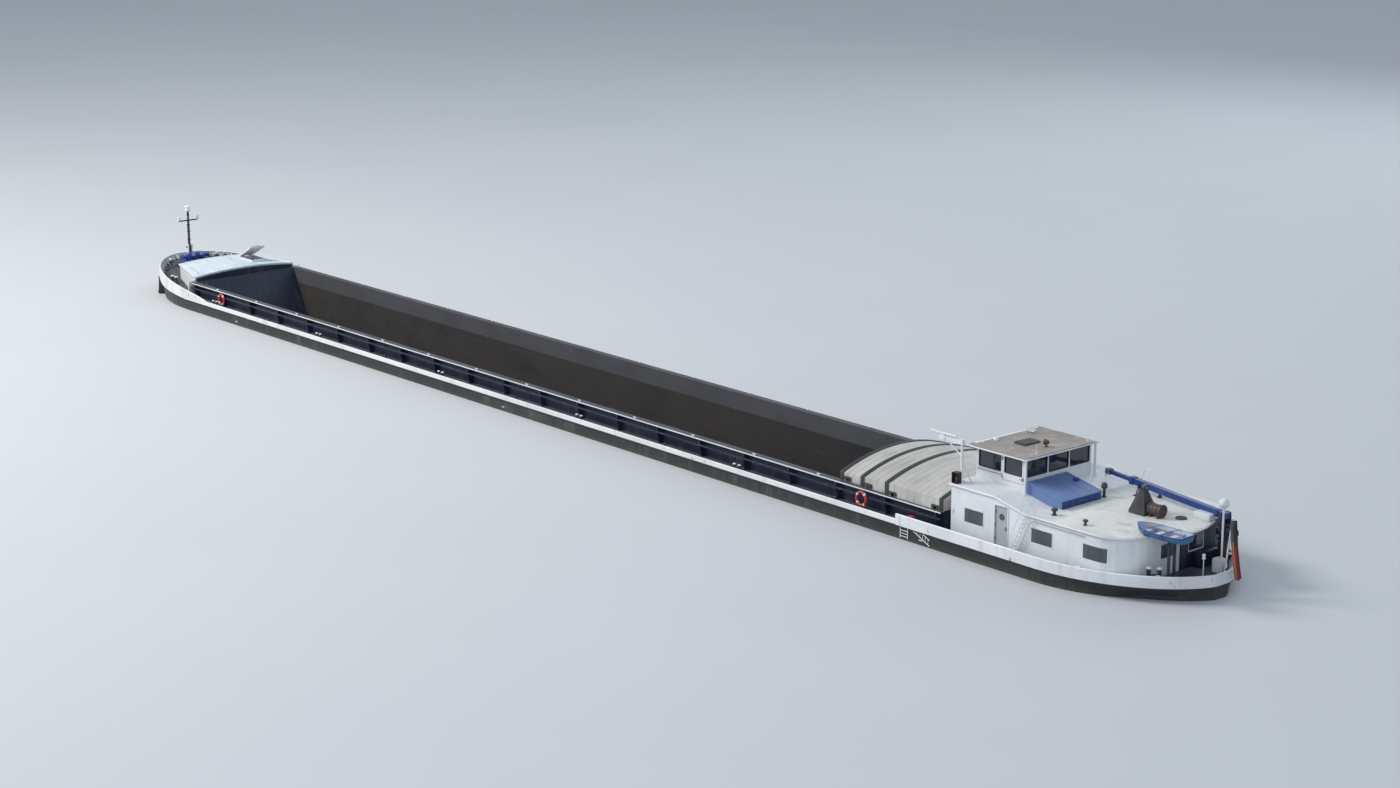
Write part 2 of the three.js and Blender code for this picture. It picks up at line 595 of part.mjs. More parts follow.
// Crane, stowed forward along the starboard roof edge, its boom a little outboard of the wheelhouse
const CRANE = { x: -4035, y: -165, pivot: 535, stow: degrees(2), yaw: degrees(-6.5) };
function crane() {
  const { x, y, pivot, stow, yaw } = CRANE;
  const pillar = join([
    rod('z', [x, y, DECK + GAP], 32, 6),
    rod('z', [x, y, DECK + GAP], 22, 130, 20),
    rod('z', [x, y, 434], 27, 8, 20),
  ]);
  place('crane_pillar', pillar, 'navy');

  // The head, the boom and its extension are shaped about the pillar's own axis
  const cheeks = [-22, 16].map((side) => (
    alongY([[-20, 495], [20, 495], [14, pivot + 14], [-14, pivot + 14]], [side, side + 6])
  ));
  const column = rod('z', [0, 0, 442 + GAP], 19, 54, 20);
  const top = box([-22, 22], [-22, 22], [490, 501]);
  const winch = box([-46, -18], [-16, 16], [455, 488]);
  const pinBore = rod('y', [0, -40, pivot], 6.5, 80);
  place('crane_head', cut(join([column, top, winch, ...cheeks]), [pinBore]), 'navy', [x, y, 0], yaw);

  const boomTube = cut(box([-14, 560], [-13, 13], [-13, 13]), [box([40, 600], [-10, 10], [-10, 10])]);
  const pin = rod('y', [0, -24, 0], 5, 48);
  const arm = join([
    box([200, 690], [-8, 8], [-8, 8]),
    box([684, 716], [-11, 11], [-11, 11]),
  ]);
  for (const [name, solid] of Object.entries({ crane_boom: join([boomTube, pin]), crane_extension: arm })) {
    place(name, solid, 'craneBlue', [x, y, pivot]).rotation.set(0, -stow, yaw, 'ZYX');
  }
}

// The staff rakes aft over the stern, and the ensign hangs limp behind it
const STAFF = { x: -4126, y: -60, length: 256, rake: -7 };
function flag() {
  const { x, y, length, rake } = STAFF;
  const foot = rod('z', [x, y, DECK + GAP], 10, 14);
  const pole = rod('z', [0, 0, 0], 4, length).rotate([0, rake, 0]).translate([x, y, DECK + 4]);
  place('flagstaff', join([foot, pole]), 'white');
  place('ensign', box([-4169.5, -4161.5], [y - 18, y + 18], [352, 566]), 'fabric');
}

// Telescoping hatch covers, nested over the aft end of the hold
function hatchCovers() {
  // Columns: aft edge, fore edge, inner half-breadth, eave height, inner crown height
  const covers = [
    [-2630, -2270, 349, 434, 502],
    [-2772, -2412, 358, 443, 511],
    [-2935, -2575, 367, 452, 520],
  ];
  const thick = 4;
  covers.forEach(([aft, fore, half, eave, crown], i) => {
    const skin = (grow) => {
      const [wide, rise] = [half + grow, crown - eave];
      const radius = (wide ** 2 + rise ** 2) / (2 * rise);
      const spread = (Math.asin(wide / radius) * 180) / Math.PI;
      return arc([0, crown + grow - radius], radius, 90 - spread, 90 + spread, 18);
    };
    const foot = COAMING_TOP + 1;
    const section = [
      [half, foot], [half + thick, foot], ...skin(thick), [-half - thick, foot], [-half, foot], ...skin(0).reverse(),
    ];
    place(`hatch_cover_${i + 1}`, alongX(section, [aft, fore]), 'cover');
  });
}

// Running gear
function runningGear() {
  const [x, z] = [-3906, 85];
  const blades = [0, 90, 180, 270].map((turn) => {
    const shape = new THREE.BoxGeometry(5, 44, 56);
    shape.rotateZ(degrees(35));
    shape.translate(0, 0, 40);
    shape.rotateX(degrees(turn));
    shape.translate(x, 0, z);
    return toSolid(shape);
  });
  const shaft = rod('x', [x + 15, 0, z], 8, 66);
  const hub = rod('x', [x - 24, 0, z], 12, 42, 16, 17);
  place('propeller', join([shaft, hub, ...blades]), 'bronze');

  for (const side of [1, -1]) {
    const rudder = [
      [-4075, 24], [-3985, 24], [-3978, 190], [-4075, 190],
    ];
    const bladeSolid = alongY(rudder, [side * 62 - 5, side * 62 + 5]);
    const stockTop = bottomHeight(-3970) - 0.5;
    const stock = rod('z', [-4008, side * 62, 180], 7, stockTop - 180);
    place(`rudder_${mirrorName(side)}`, join([bladeSolid, stock]), 'charcoal');
  }
}

hull();
coamings();
edgeBands();
bowHouse();
windlass();
mast();
anchors();
bollards();
house();
wheelhouse();
radar();
roofGear();
workboat();
crane();
flag();
hatchCovers();
runningGear();

export default ship;
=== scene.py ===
"""Inland river barge, a 1:10 model: its fittings and finishes, in metres, X forward, Y to port, Z up."""
import math

import bmesh
import bpy
from mathutils import Matrix, Vector


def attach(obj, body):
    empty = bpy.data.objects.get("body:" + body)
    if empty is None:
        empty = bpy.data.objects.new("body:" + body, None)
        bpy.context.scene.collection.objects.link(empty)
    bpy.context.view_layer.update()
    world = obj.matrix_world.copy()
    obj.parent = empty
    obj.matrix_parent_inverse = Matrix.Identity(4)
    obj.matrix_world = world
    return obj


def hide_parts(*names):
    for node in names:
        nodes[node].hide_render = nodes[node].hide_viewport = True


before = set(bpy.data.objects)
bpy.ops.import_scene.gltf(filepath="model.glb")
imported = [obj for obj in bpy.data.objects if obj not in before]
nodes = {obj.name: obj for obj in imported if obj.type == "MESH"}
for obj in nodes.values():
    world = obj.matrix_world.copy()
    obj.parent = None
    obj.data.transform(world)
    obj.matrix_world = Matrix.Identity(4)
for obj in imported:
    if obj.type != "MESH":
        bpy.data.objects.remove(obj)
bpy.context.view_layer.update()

# Driving sizes, as the hull was drawn
HALF_LENGTH = 4.17
SIDE = 0.422
BAND = 0.008
DECK = 0.31
HOLD_AFT, HOLD_FORE = -2.93, 3.43
HOLD_HALF = 0.345
COAMING_TOP = 0.4
FLANGE_FACE = 0.3938
STERN_START = -3.52
WATERLINE = 0.24
ROOF_LOW, ROOF_HIGH = 0.502, 0.54
HOUSE_HALF = 0.36
CORNER_X, CORNER_Y, CORNER_RADIUS = -3.78, 0.19, 0.17
CRANE_POST = Vector((-4.035, -0.165, 0))
CRANE_YAW = math.radians(-6.5)
CRANE_PIVOT = 0.535
CRANE_STOW = math.radians(2)
SIDES = ((1, "port"), (-1, "starboard"))


# Modelling by hand
def free():
    """Object mode with nothing selected."""
    if bpy.context.mode != "OBJECT":
        bpy.ops.object.mode_set(mode="OBJECT")
    bpy.ops.object.select_all(action="DESELECT")


def alone(piece):
    free()
    piece.select_set(True)
    bpy.context.view_layer.objects.active = piece


def opened(piece):
    """Edit mode with the whole piece selected."""
    alone(piece)
    bpy.ops.object.mode_set(mode="EDIT")
    bpy.ops.mesh.select_all(action="SELECT")


def settled(name):
    """Names the new piece and moves its place into its mesh."""
    piece = bpy.context.active_object
    piece.name = name
    piece.data.name = name
    bpy.ops.object.transform_apply(location=True, rotation=True, scale=True)
    return piece


def block(name, x, y, z):
    free()
    size = [high - low for low, high in (x, y, z)]
    middle = [(high + low) / 2 for low, high in (x, y, z)]
    bpy.ops.mesh.primitive_cube_add(size=1, location=middle, scale=size)
    return settled(name)


TURNS = {"x": (0, math.pi / 2, 0), "y": (math.pi / 2, 0, 0), "z": (0, 0, 0)}


def drum(name, centre, radius, length, axis="z", sides=24, top=None):
    """A round bar, or a cone when its top differs, centred on its place."""
    free()
    bpy.ops.mesh.primitive_cone_add(
        vertices=sides, radius1=radius, radius2=radius if top is None else top,
        depth=length, location=centre, rotation=TURNS[axis],
    )
    return settled(name)


def ball(name, centre, radius, squash=(1, 1, 1)):
    free()
    bpy.ops.mesh.primitive_uv_sphere_add(segments=20, ring_count=12, radius=radius,
                                         location=centre, scale=squash)
    return settled(name)


def hoop(name, centre, radius, thickness, axis="z", around=28, section=8):
    free()
    bpy.ops.mesh.primitive_torus_add(
        location=centre, rotation=TURNS[axis], major_radius=radius, minor_radius=thickness,
        major_segments=around, minor_segments=section,
    )
    return settled(name)


def chosen(piece, faces=None, edges=None):
    """Edit mode, with only the faces or edges that are wanted by their place and direction."""
    alone(piece)
    bpy.ops.object.mode_set(mode="EDIT")
    bpy.ops.mesh.select_mode(type="FACE" if faces else "EDGE")
    bpy.ops.mesh.select_all(action="DESELECT")
    mesh = bmesh.from_edit_mesh(piece.data)
    if faces:
        for face in mesh.faces:
            face.select_set(bool(faces(face.calc_center_median(), face.normal)))
    else:
        for edge in mesh.edges:
            a, b = (vert.co for vert in edge.verts)
            edge.select_set(bool(edges((a + b) / 2, (b - a).normalized())))
    bmesh.update_edit_mesh(piece.data)


def upper(height):
    """Picks the faces that look up from above a height."""
    return lambda place, normal: normal.z > 0.9 and place.z > height


def facing_aft(place, normal):
    return normal.x < -0.9


def inset(piece, faces, thickness, depth=0.0, single=False):
    chosen(piece, faces=faces)
    bpy.ops.mesh.inset(thickness=thickness, depth=depth, use_individual=single)
    free()


def pulled(piece, faces, by):
    """Extrudes the wanted faces by a vector."""
    chosen(piece, faces=faces)
    bpy.ops.mesh.extrude_region_move(TRANSFORM_OT_translate={"value": by})
    free()


def worked(piece, kind, **settings):
    """Adds a modifier and applies it."""
    alone(piece)
    modifier = piece.modifiers.new(kind.title(), kind)
    for key, value in settings.items():
        setattr(modifier, key, value)
    bpy.ops.object.modifier_apply(modifier=modifier.name)
    return piece


def softened(piece, width=0.001, segments=2):
    """Rounds the piece's sharp edges and smooths what is round."""
    worked(piece, "BEVEL", width=width, segments=segments, limit_method="ANGLE", angle_limit=0.6)
    bpy.ops.object.shade_smooth_by_angle(angle=0.7)
    return piece


def slab(name, x, y, z, width=0.001, segments=2):
    """A block with rounded edges."""
    return softened(block(name, x, y, z), width, segments)


def cleaned(piece):
    """Merges doubled points and turns every face outwards."""
    opened(piece)
    bpy.ops.mesh.remove_doubles(threshold=1e-5)
    bpy.ops.mesh.normals_make_consistent(inside=False)
    free()
    return piece


def drawn(name, points, closed=False):
    """A line of edges, drawn point by point."""
    free()
    bpy.ops.mesh.primitive_plane_add(size=0.001, location=points[0])
    piece = settled(name)
    bpy.ops.object.mode_set(mode="EDIT")
    bpy.ops.mesh.select_mode(type="VERT")
    bpy.ops.mesh.select_all(action="SELECT")
    bpy.ops.mesh.merge(type="CENTER")
    for before, after in zip(points, points[1:]):
        step = [b - a for a, b in zip(before, after)]
        bpy.ops.mesh.extrude_vertices_move(TRANSFORM_OT_translate={"value": step})
    if closed:
        bpy.ops.mesh.select_all(action="SELECT")
        bpy.ops.mesh.edge_face_add()
    free()
    return piece


def pipe(name, points, radius, smooth=3):
    """A tube along a drawn line."""
    piece = drawn(name, points)
    alone(piece)
    bpy.ops.object.convert(target="CURVE")
    piece = bpy.context.active_object
    piece.data.bevel_depth = radius
    piece.data.bevel_resolution = smooth - 1
    piece.data.use_fill_caps = True
    bpy.ops.object.convert(target="MESH")
    piece = bpy.context.active_object
    piece.name = name
    bpy.ops.object.shade_smooth_by_angle(angle=0.9)
    return piece


def plate(name, outline, by):
    """A flat outline given its thickness."""
    piece = drawn(name, outline, closed=True)
    pulled(piece, lambda place, normal: True, by)
    return cleaned(piece)


def turned(name, centre, profile, axis="z", steps=24):
    """A profile of (radius, height) spun about an upright, fore-and-aft or athwart axis."""
    ways = {
        "z": lambda r, h: (centre[0] + r, centre[1], centre[2] + h),
        "x": lambda r, h: (centre[0] + h, centre[1] + r, centre[2]),
        "y": lambda r, h: (centre[0] + r, centre[1] + h, centre[2]),
    }
    piece = drawn(name, [ways[axis](r, h) for r, h in profile])
    opened(piece)
    about = {"x": (1, 0, 0), "y": (0, 1, 0), "z": (0, 0, 1)}[axis]
    bpy.ops.mesh.spin(steps=steps, angle=2 * math.pi, center=centre, axis=about)
    free()
    cleaned(piece)
    alone(piece)
    bpy.ops.object.shade_smooth_by_angle(angle=0.7)
    return piece


def moved(piece, by=(0, 0, 0), turn=0.0, about=(0, 0, 0), axis="Z"):
    """Turns the piece about a point and shifts it, in its mesh."""
    spot = Matrix.Translation(Vector(about))
    spin = Matrix.Rotation(turn, 4, axis)
    piece.data.transform(Matrix.Translation(Vector(by)) @ spot @ spin @ spot.inverted())
    return piece


def copied(piece, name, by=(0, 0, 0), turn=0.0, about=(0, 0, 0)):
    alone(piece)
    bpy.ops.object.duplicate(linked=False)
    twin = bpy.context.active_object
    twin.name = name
    return moved(twin, by, turn, about)


def mirrored(piece, name):
    """The same piece on the other side of the ship."""
    twin = copied(piece, name)
    twin.data.transform(Matrix.Scale(-1, 4, (0, 1, 0)))
    opened(twin)
    bpy.ops.mesh.flip_normals()
    free()
    return twin


def joined(name, pieces):
    free()
    for piece in pieces:
        piece.select_set(True)
    bpy.context.view_layer.objects.active = pieces[0]
    bpy.ops.object.join()
    piece = bpy.context.active_object
    piece.name = name
    piece.data.name = name
    return piece


def fitted(piece, finish, body="ship"):
    """Gives the piece its finish and the body it moves with."""
    piece.data.materials.clear()
    piece.data.materials.append(FINISH[finish])
    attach(piece, body)
    return piece


# Finishes
class Finish:
    """One material's nodes."""

    def __init__(self, name):
        self.material = bpy.data.materials.new(name)
        self.material.use_nodes = True
        self.tree = self.material.node_tree
        self.shader = self.tree.nodes["Principled BSDF"]
        self.spot = self.node("ShaderNodeTexCoord")
        self.axes = self.node("ShaderNodeSeparateXYZ", {0: self.spot.outputs["Object"]}).outputs
        self.facing = self.node("ShaderNodeSeparateXYZ", {0: self.spot.outputs["Normal"]}).outputs

    def node(self, kind, inputs=None, **settings):
        made = self.tree.nodes.new(kind)
        for key, value in settings.items():
            setattr(made, key, value)
        for key, value in (inputs or {}).items():
            if isinstance(value, bpy.types.NodeSocket):
                self.tree.links.new(value, made.inputs[key])
            else:
                made.inputs[key].default_value = value
        return made

    def sum(self, operation, a, b=0.0, clamp=False):
        return self.node("ShaderNodeMath", {0: a, 1: b}, operation=operation, use_clamp=clamp).outputs[0]

    def noise(self, scale, stretch=(1, 1, 1), detail=5, roughness=0.6, warp=0.0):
        where = self.node("ShaderNodeMapping", {"Vector": self.spot.outputs["Object"], "Scale": stretch})
        return self.node("ShaderNodeTexNoise", {
            "Vector": where.outputs[0], "Scale": scale, "Detail": detail,
            "Roughness": roughness, "Distortion": warp,
        }).outputs[0]

    def span(self, value, low, high, out_low=0.0, out_high=1.0):
        return self.node("ShaderNodeMapRange", {
            0: value, 1: low, 2: high, 3: out_low, 4: out_high,
        }, clamp=True).outputs[0]

    def over(self, value, edge, soft=0.0005):
        """One where the value is over the edge."""
        return self.span(value, edge - soft, edge + soft)

    def under(self, value, edge, soft=0.0005):
        return self.span(value, edge - soft, edge + soft, 1.0, 0.0)

    def both(self, a, b):
        return self.sum("MULTIPLY", a, b)

    def mix(self, factor, a, b):
        return self.node("ShaderNodeMix", {
            0: factor, 6: self.colour(a), 7: self.colour(b),
        }, data_type="RGBA").outputs[2]

    def blend(self, factor, a, b):
        return self.node("ShaderNodeMix", {0: factor, 2: a, 3: b}, data_type="FLOAT").outputs[0]

    @staticmethod
    def colour(value):
        return value if isinstance(value, bpy.types.NodeSocket) else (*value, 1.0)

    def seams(self, axis, pitch, width):
        """One along lines square to an axis, a pitch apart."""
        phase = self.sum("PINGPONG", self.axes[axis], pitch / 2)
        return self.under(phase, width, width * 0.4)

    def done(self, colour, rough, height, depth=0.002, **sockets):
        self.tree.links.new(colour, self.shader.inputs["Base Color"])
        self.tree.links.new(rough, self.shader.inputs["Roughness"])
        bump = self.node("ShaderNodeBump", {"Height": height, "Distance": depth, "Strength": 1.0})
        self.tree.links.new(bump.outputs[0], self.shader.inputs["Normal"])
        for key, value in sockets.items():
            self.shader.inputs[key.replace("_", " ")].default_value = value
        return self.material


RUST = (0.16, 0.06, 0.022)
DUST = (0.22, 0.2, 0.17)


def weathered(f, base, shade, grime=DUST, rough=(0.35, 0.6), runs=0.35, rust=0.0, size=1.0):
    """Paint that has been outdoors: cloudy, with runs of dirt, rust spots and a fine orange peel."""
    clouds = f.noise(3.5 * size, detail=6)
    colour = f.mix(f.span(clouds, 0.35, 0.68), base, shade)
    streaks = f.noise(26 * size, (1, 1, 0.09), detail=7, roughness=0.65)
    patches = f.noise(5 * size, detail=3)
    run = f.both(f.span(streaks, 0.5, 0.74), f.span(patches, 0.42, 0.62, 0.0, runs))
    colour = f.mix(run, colour, grime)
    height = f.noise(420, detail=2)
    gloss = f.blend(run, f.span(clouds, 0.3, 0.7, rough[0], rough[1]), 0.8)
    if rust:
        spots = f.span(f.noise(38 * size, (1, 1, 0.45), detail=8, roughness=0.7), 0.67 - rust * 0.1, 0.73)
        colour = f.mix(spots, colour, RUST)
        gloss = f.blend(spots, gloss, 0.85)
        height = f.sum("ADD", height, f.both(spots, 1.5))
    return colour, gloss, height


def walked(f, base, shade, rust=0.2):
    """Deck paint with grit in it, scuffed pale and rust-stained."""
    clouds = f.noise(7, (0.5, 1.6, 1), detail=7, roughness=0.65)
    colour = f.mix(f.span(clouds, 0.36, 0.66), base, shade)
    scuffs = f.span(f.noise(60, (0.25, 1.5, 1), detail=8, roughness=0.75), 0.6, 0.74, 0.0, 0.65)
    colour = f.mix(scuffs, colour, DUST)
    stains = f.span(f.noise(16, detail=6), 0.62 - rust * 0.1, 0.72, 0.0, 0.7)
    colour = f.mix(stains, colour, RUST)
    height = f.noise(650, detail=1)
    return colour, f.span(clouds, 0.3, 0.7, 0.65, 0.9), height


def layered(f, below, above, mask):
    """One surface laid over another where the mask is one."""
    return (
        f.mix(mask, below[0], above[0]), f.blend(mask, below[1], above[1]), f.blend(mask, below[2], above[2]),
    )


WHITE = (0.74, 0.76, 0.78)
WHITE_SHADE = (0.6, 0.62, 0.645)
WHITE_STAIN = (0.33, 0.3, 0.26)
BLACK = (0.011, 0.013, 0.016)
BLACK_SHADE = (0.028, 0.031, 0.036)
NAVY = (0.01, 0.016, 0.04)
NAVY_SHADE = (0.02, 0.028, 0.055)
DECK_GREY = (0.045, 0.05, 0.057)
DECK_SHADE = (0.085, 0.09, 0.1)
BLUE = (0.008, 0.036, 0.175)
BLUE_SHADE = (0.014, 0.052, 0.22)


def sides_black(f):
    """Hull sides: black, dulled by the water at the foot, with plate seams and scrapes."""
    colour, gloss, height = weathered(f, BLACK, BLACK_SHADE, DUST, (0.3, 0.55), 0.45, 0.35, 0.6)
    wet = f.under(f.sum("ADD", f.axes[2], f.sum("MULTIPLY", f.noise(9, (1, 1, 2)), 0.03)), 0.268, 0.012)
    colour = f.mix(f.both(wet, 0.75), colour, (0.05, 0.05, 0.036))
    scrapes = f.span(f.noise(11, (0.25, 1, 5), detail=9, roughness=0.72), 0.66, 0.7, 0.0, 0.5)
    colour = f.mix(scrapes, colour, (0.13, 0.1, 0.085))
    seams = f.seams(0, 0.62, 0.0014)
    height = f.sum("ADD", height, f.both(seams, 2.0))
    return colour, gloss, height


def hull_paint():
    f = Finish("hull_paint")
    body = sides_black(f)
    deck = walked(f, DECK_GREY, DECK_SHADE)
    inside = hold_steel(f)
    body = layered(f, body, deck, f.both(f.over(f.facing[2], 0.6, 0.1), f.over(f.axes[2], 0.3)))
    across = f.sum("ABSOLUTE", f.axes[1])
    toward = f.both(f.under(across, HOLD_HALF + 0.002), f.over(f.axes[2], 0.044))
    hold = f.both(toward, f.both(f.over(f.axes[0], HOLD_AFT - 0.001), f.under(f.axes[0], HOLD_FORE + 0.001)))
    body = layered(f, body, inside, f.both(hold, f.under(f.facing[2], 0.5)))
    return f.done(*body, depth=0.0012)


def hold_steel(f):
    """Inside the hold: worn grey primer over rust, scraped by cargo."""
    clouds = f.noise(4, (0.5, 1, 1), detail=8, roughness=0.68)
    colour = f.mix(f.span(clouds, 0.38, 0.62), (0.02, 0.021, 0.024), (0.03, 0.026, 0.024))
    scrape = f.span(f.noise(30, (0.12, 1, 1), detail=8, roughness=0.75), 0.58, 0.68, 0.0, 0.4)
    colour = f.mix(scrape, colour, (0.06, 0.06, 0.06))
    rust = f.span(f.noise(13, detail=8, roughness=0.7), 0.57, 0.66, 0.0, 0.6)
    colour = f.mix(rust, colour, (0.05, 0.024, 0.014))
    seams = f.sum("MAXIMUM", f.seams(0, 0.6, 0.0022), f.seams(1, 0.23, 0.0022))
    height = f.sum("ADD", f.noise(120, detail=3), f.both(seams, 2.0))
    return colour, f.span(clouds, 0.3, 0.7, 0.55, 0.85), height


def hold_paint():
    f = Finish("hold_paint")
    return f.done(*hold_steel(f), depth=0.0015, Metallic=0.15)


def white_paint(name="white_paint", runs=0.4, rust=0.25):
    f = Finish(name)
    return f.done(*weathered(f, WHITE, WHITE_SHADE, WHITE_STAIN, (0.3, 0.5), runs, rust), depth=0.0005)


def plain_paint(name, base, shade, rough=(0.35, 0.6), runs=0.25, rust=0.12, **sockets):
    f = Finish(name)
    return f.done(*weathered(f, base, shade, DUST, rough, runs, rust), depth=0.0005, **sockets)


def white_with_aft_navy_and_shade(name, where):
    """White walls with dark blue on the after faces, partly as paint and partly as painted shade."""
    f = Finish(name)
    white = weathered(f, WHITE, WHITE_SHADE, WHITE_STAIN, (0.3, 0.5), 0.4, 0.25)
    dark = weathered(f, NAVY, NAVY_SHADE, DUST, (0.35, 0.6), 0.4, 0.2)
    return f.done(*layered(f, white, dark, where(f)), depth=0.0005)


def coaming_paint():
    """Dark blue outside, dark grey on top and in the hold, with the flange's outer edge in white."""
    f = Finish("coaming_paint")
    dark = weathered(f, NAVY, NAVY_SHADE, DUST, (0.35, 0.6), 0.5, 0.3)
    grey = weathered(f, (0.07, 0.075, 0.085), (0.045, 0.048, 0.055),
                     (0.1, 0.05, 0.03), (0.5, 0.75), 0.7, 0.35)
    white = weathered(f, WHITE, WHITE_SHADE, WHITE_STAIN, (0.35, 0.6), 0.4, 0.3)
    across = f.sum("ABSOLUTE", f.axes[1])
    top = f.both(f.over(f.axes[2], FLANGE_FACE), f.over(f.facing[2], 0.6, 0.1))
    body = layered(f, dark, grey, f.sum("MAXIMUM", f.under(across, HOLD_HALF + 0.001), top))
    edge = f.both(f.over(across, HOLD_HALF + 0.0375),
                  f.both(f.over(f.axes[2], FLANGE_FACE), f.under(f.facing[2], 0.6, 0.1)))
    return f.done(*layered(f, body, white, edge), depth=0.0006)


def roof_paint(name, base, shade, patch, rust=0.15):
    """A roof's walking paint: cloudy, patched and stained by rain."""
    f = Finish(name)
    colour, gloss, height = weathered(f, base, shade, (0.2, 0.17, 0.13), (0.5, 0.75), 0.0, rust)
    blots = f.span(f.noise(9, detail=7, roughness=0.68, warp=0.6), 0.5, 0.62, 0.0, 0.75)
    colour = f.mix(blots, colour, patch)
    rain = f.span(f.noise(22, (0.5, 1, 1), detail=6), 0.55, 0.72, 0.0, 0.4)
    colour = f.mix(rain, colour, (0.24, 0.22, 0.19))
    return f.done(colour, gloss, f.sum("ADD", height, f.noise(700, detail=1)), depth=0.0006)


def cover_metal():
    """Hatch covers: cream-grey coated aluminium, weather-stained across the ship."""
    f = Finish("cover_metal")
    clouds = f.noise(5, (1.5, 0.6, 1), detail=7, roughness=0.65)
    colour = f.mix(f.span(clouds, 0.34, 0.66), (0.6, 0.585, 0.545), (0.43, 0.42, 0.39))
    stain = f.span(f.noise(16, (2.2, 0.35, 0.8), detail=8, roughness=0.7), 0.52, 0.7, 0.0, 0.6)
    colour = f.mix(stain, colour, (0.27, 0.255, 0.23))
    ribs = f.sum("PINGPONG", f.axes[0], 0.02)
    folds = f.span(ribs, 0.004, 0.009)
    height = f.sum("ADD", folds, f.both(f.noise(160, detail=3), 0.12))
    return f.done(colour, f.span(clouds, 0.3, 0.7, 0.38, 0.6), height, depth=0.0022, Metallic=0.25)


def bare_metal(name, base, shade, rough=(0.25, 0.5), metallic=1.0):
    f = Finish(name)
    clouds = f.noise(30, detail=6)
    colour = f.mix(f.span(clouds, 0.35, 0.65), base, shade)
    return f.done(colour, f.span(f.noise(90, detail=4), 0.3, 0.7, *rough), f.noise(500, detail=2),
                  0.0003, Metallic=metallic)


def lens_glass(name, tint, rough=0.05, through=0.0):
    """Window or lamp glass, a little wavy and dusty."""
    f = Finish(name)
    dust = f.span(f.noise(14, detail=5), 0.45, 0.75, 0.0, 0.35)
    colour = f.mix(dust, tint, tuple(0.6 * c + 0.06 for c in tint))
    return f.done(colour, f.span(dust, 0.0, 0.35, rough, rough + 0.12), f.noise(12, detail=1), 0.0015,
                  Transmission_Weight=through, Coat_Weight=0.6)


def oar_wood():
    f = Finish("oar_wood")
    grain = f.noise(60, (0.08, 1, 1), detail=8, roughness=0.7)
    colour = f.mix(f.span(grain, 0.3, 0.7), (0.35, 0.2, 0.09), (0.22, 0.12, 0.05))
    return f.done(colour, f.span(grain, 0.3, 0.7, 0.35, 0.55), grain, 0.0004)


def ensign_cloth():
    """Black, red and yellow bands of woven cloth, black at the hoist's top."""
    f = Finish("ensign_cloth")
    weave = f.sum("ADD", f.sum("PINGPONG", f.axes[1], 0.0007), f.sum("PINGPONG", f.axes[2], 0.0007))
    worn = f.span(f.noise(25, detail=6), 0.35, 0.7)
    black = f.mix(worn, (0.012, 0.012, 0.014), (0.035, 0.034, 0.035))
    yellow = f.mix(worn, (0.32, 0.18, 0.03), (0.26, 0.15, 0.03))
    red = f.mix(worn, (0.22, 0.012, 0.02), (0.17, 0.014, 0.02))
    hang = f.sum("ADD", f.axes[2], f.sum("MULTIPLY", f.axes[1], 0.6))
    colour = f.mix(f.under(hang, 0.437, 0.0008), black, red)
    sliver = f.both(f.over(f.axes[1], -0.0385), f.under(hang, 0.455, 0.0008))
    colour = f.mix(sliver, colour, yellow)
    return f.done(colour, f.span(worn, 0, 1, 0.8, 0.92), weave, 0.0004, Sheen_Weight=0.3)


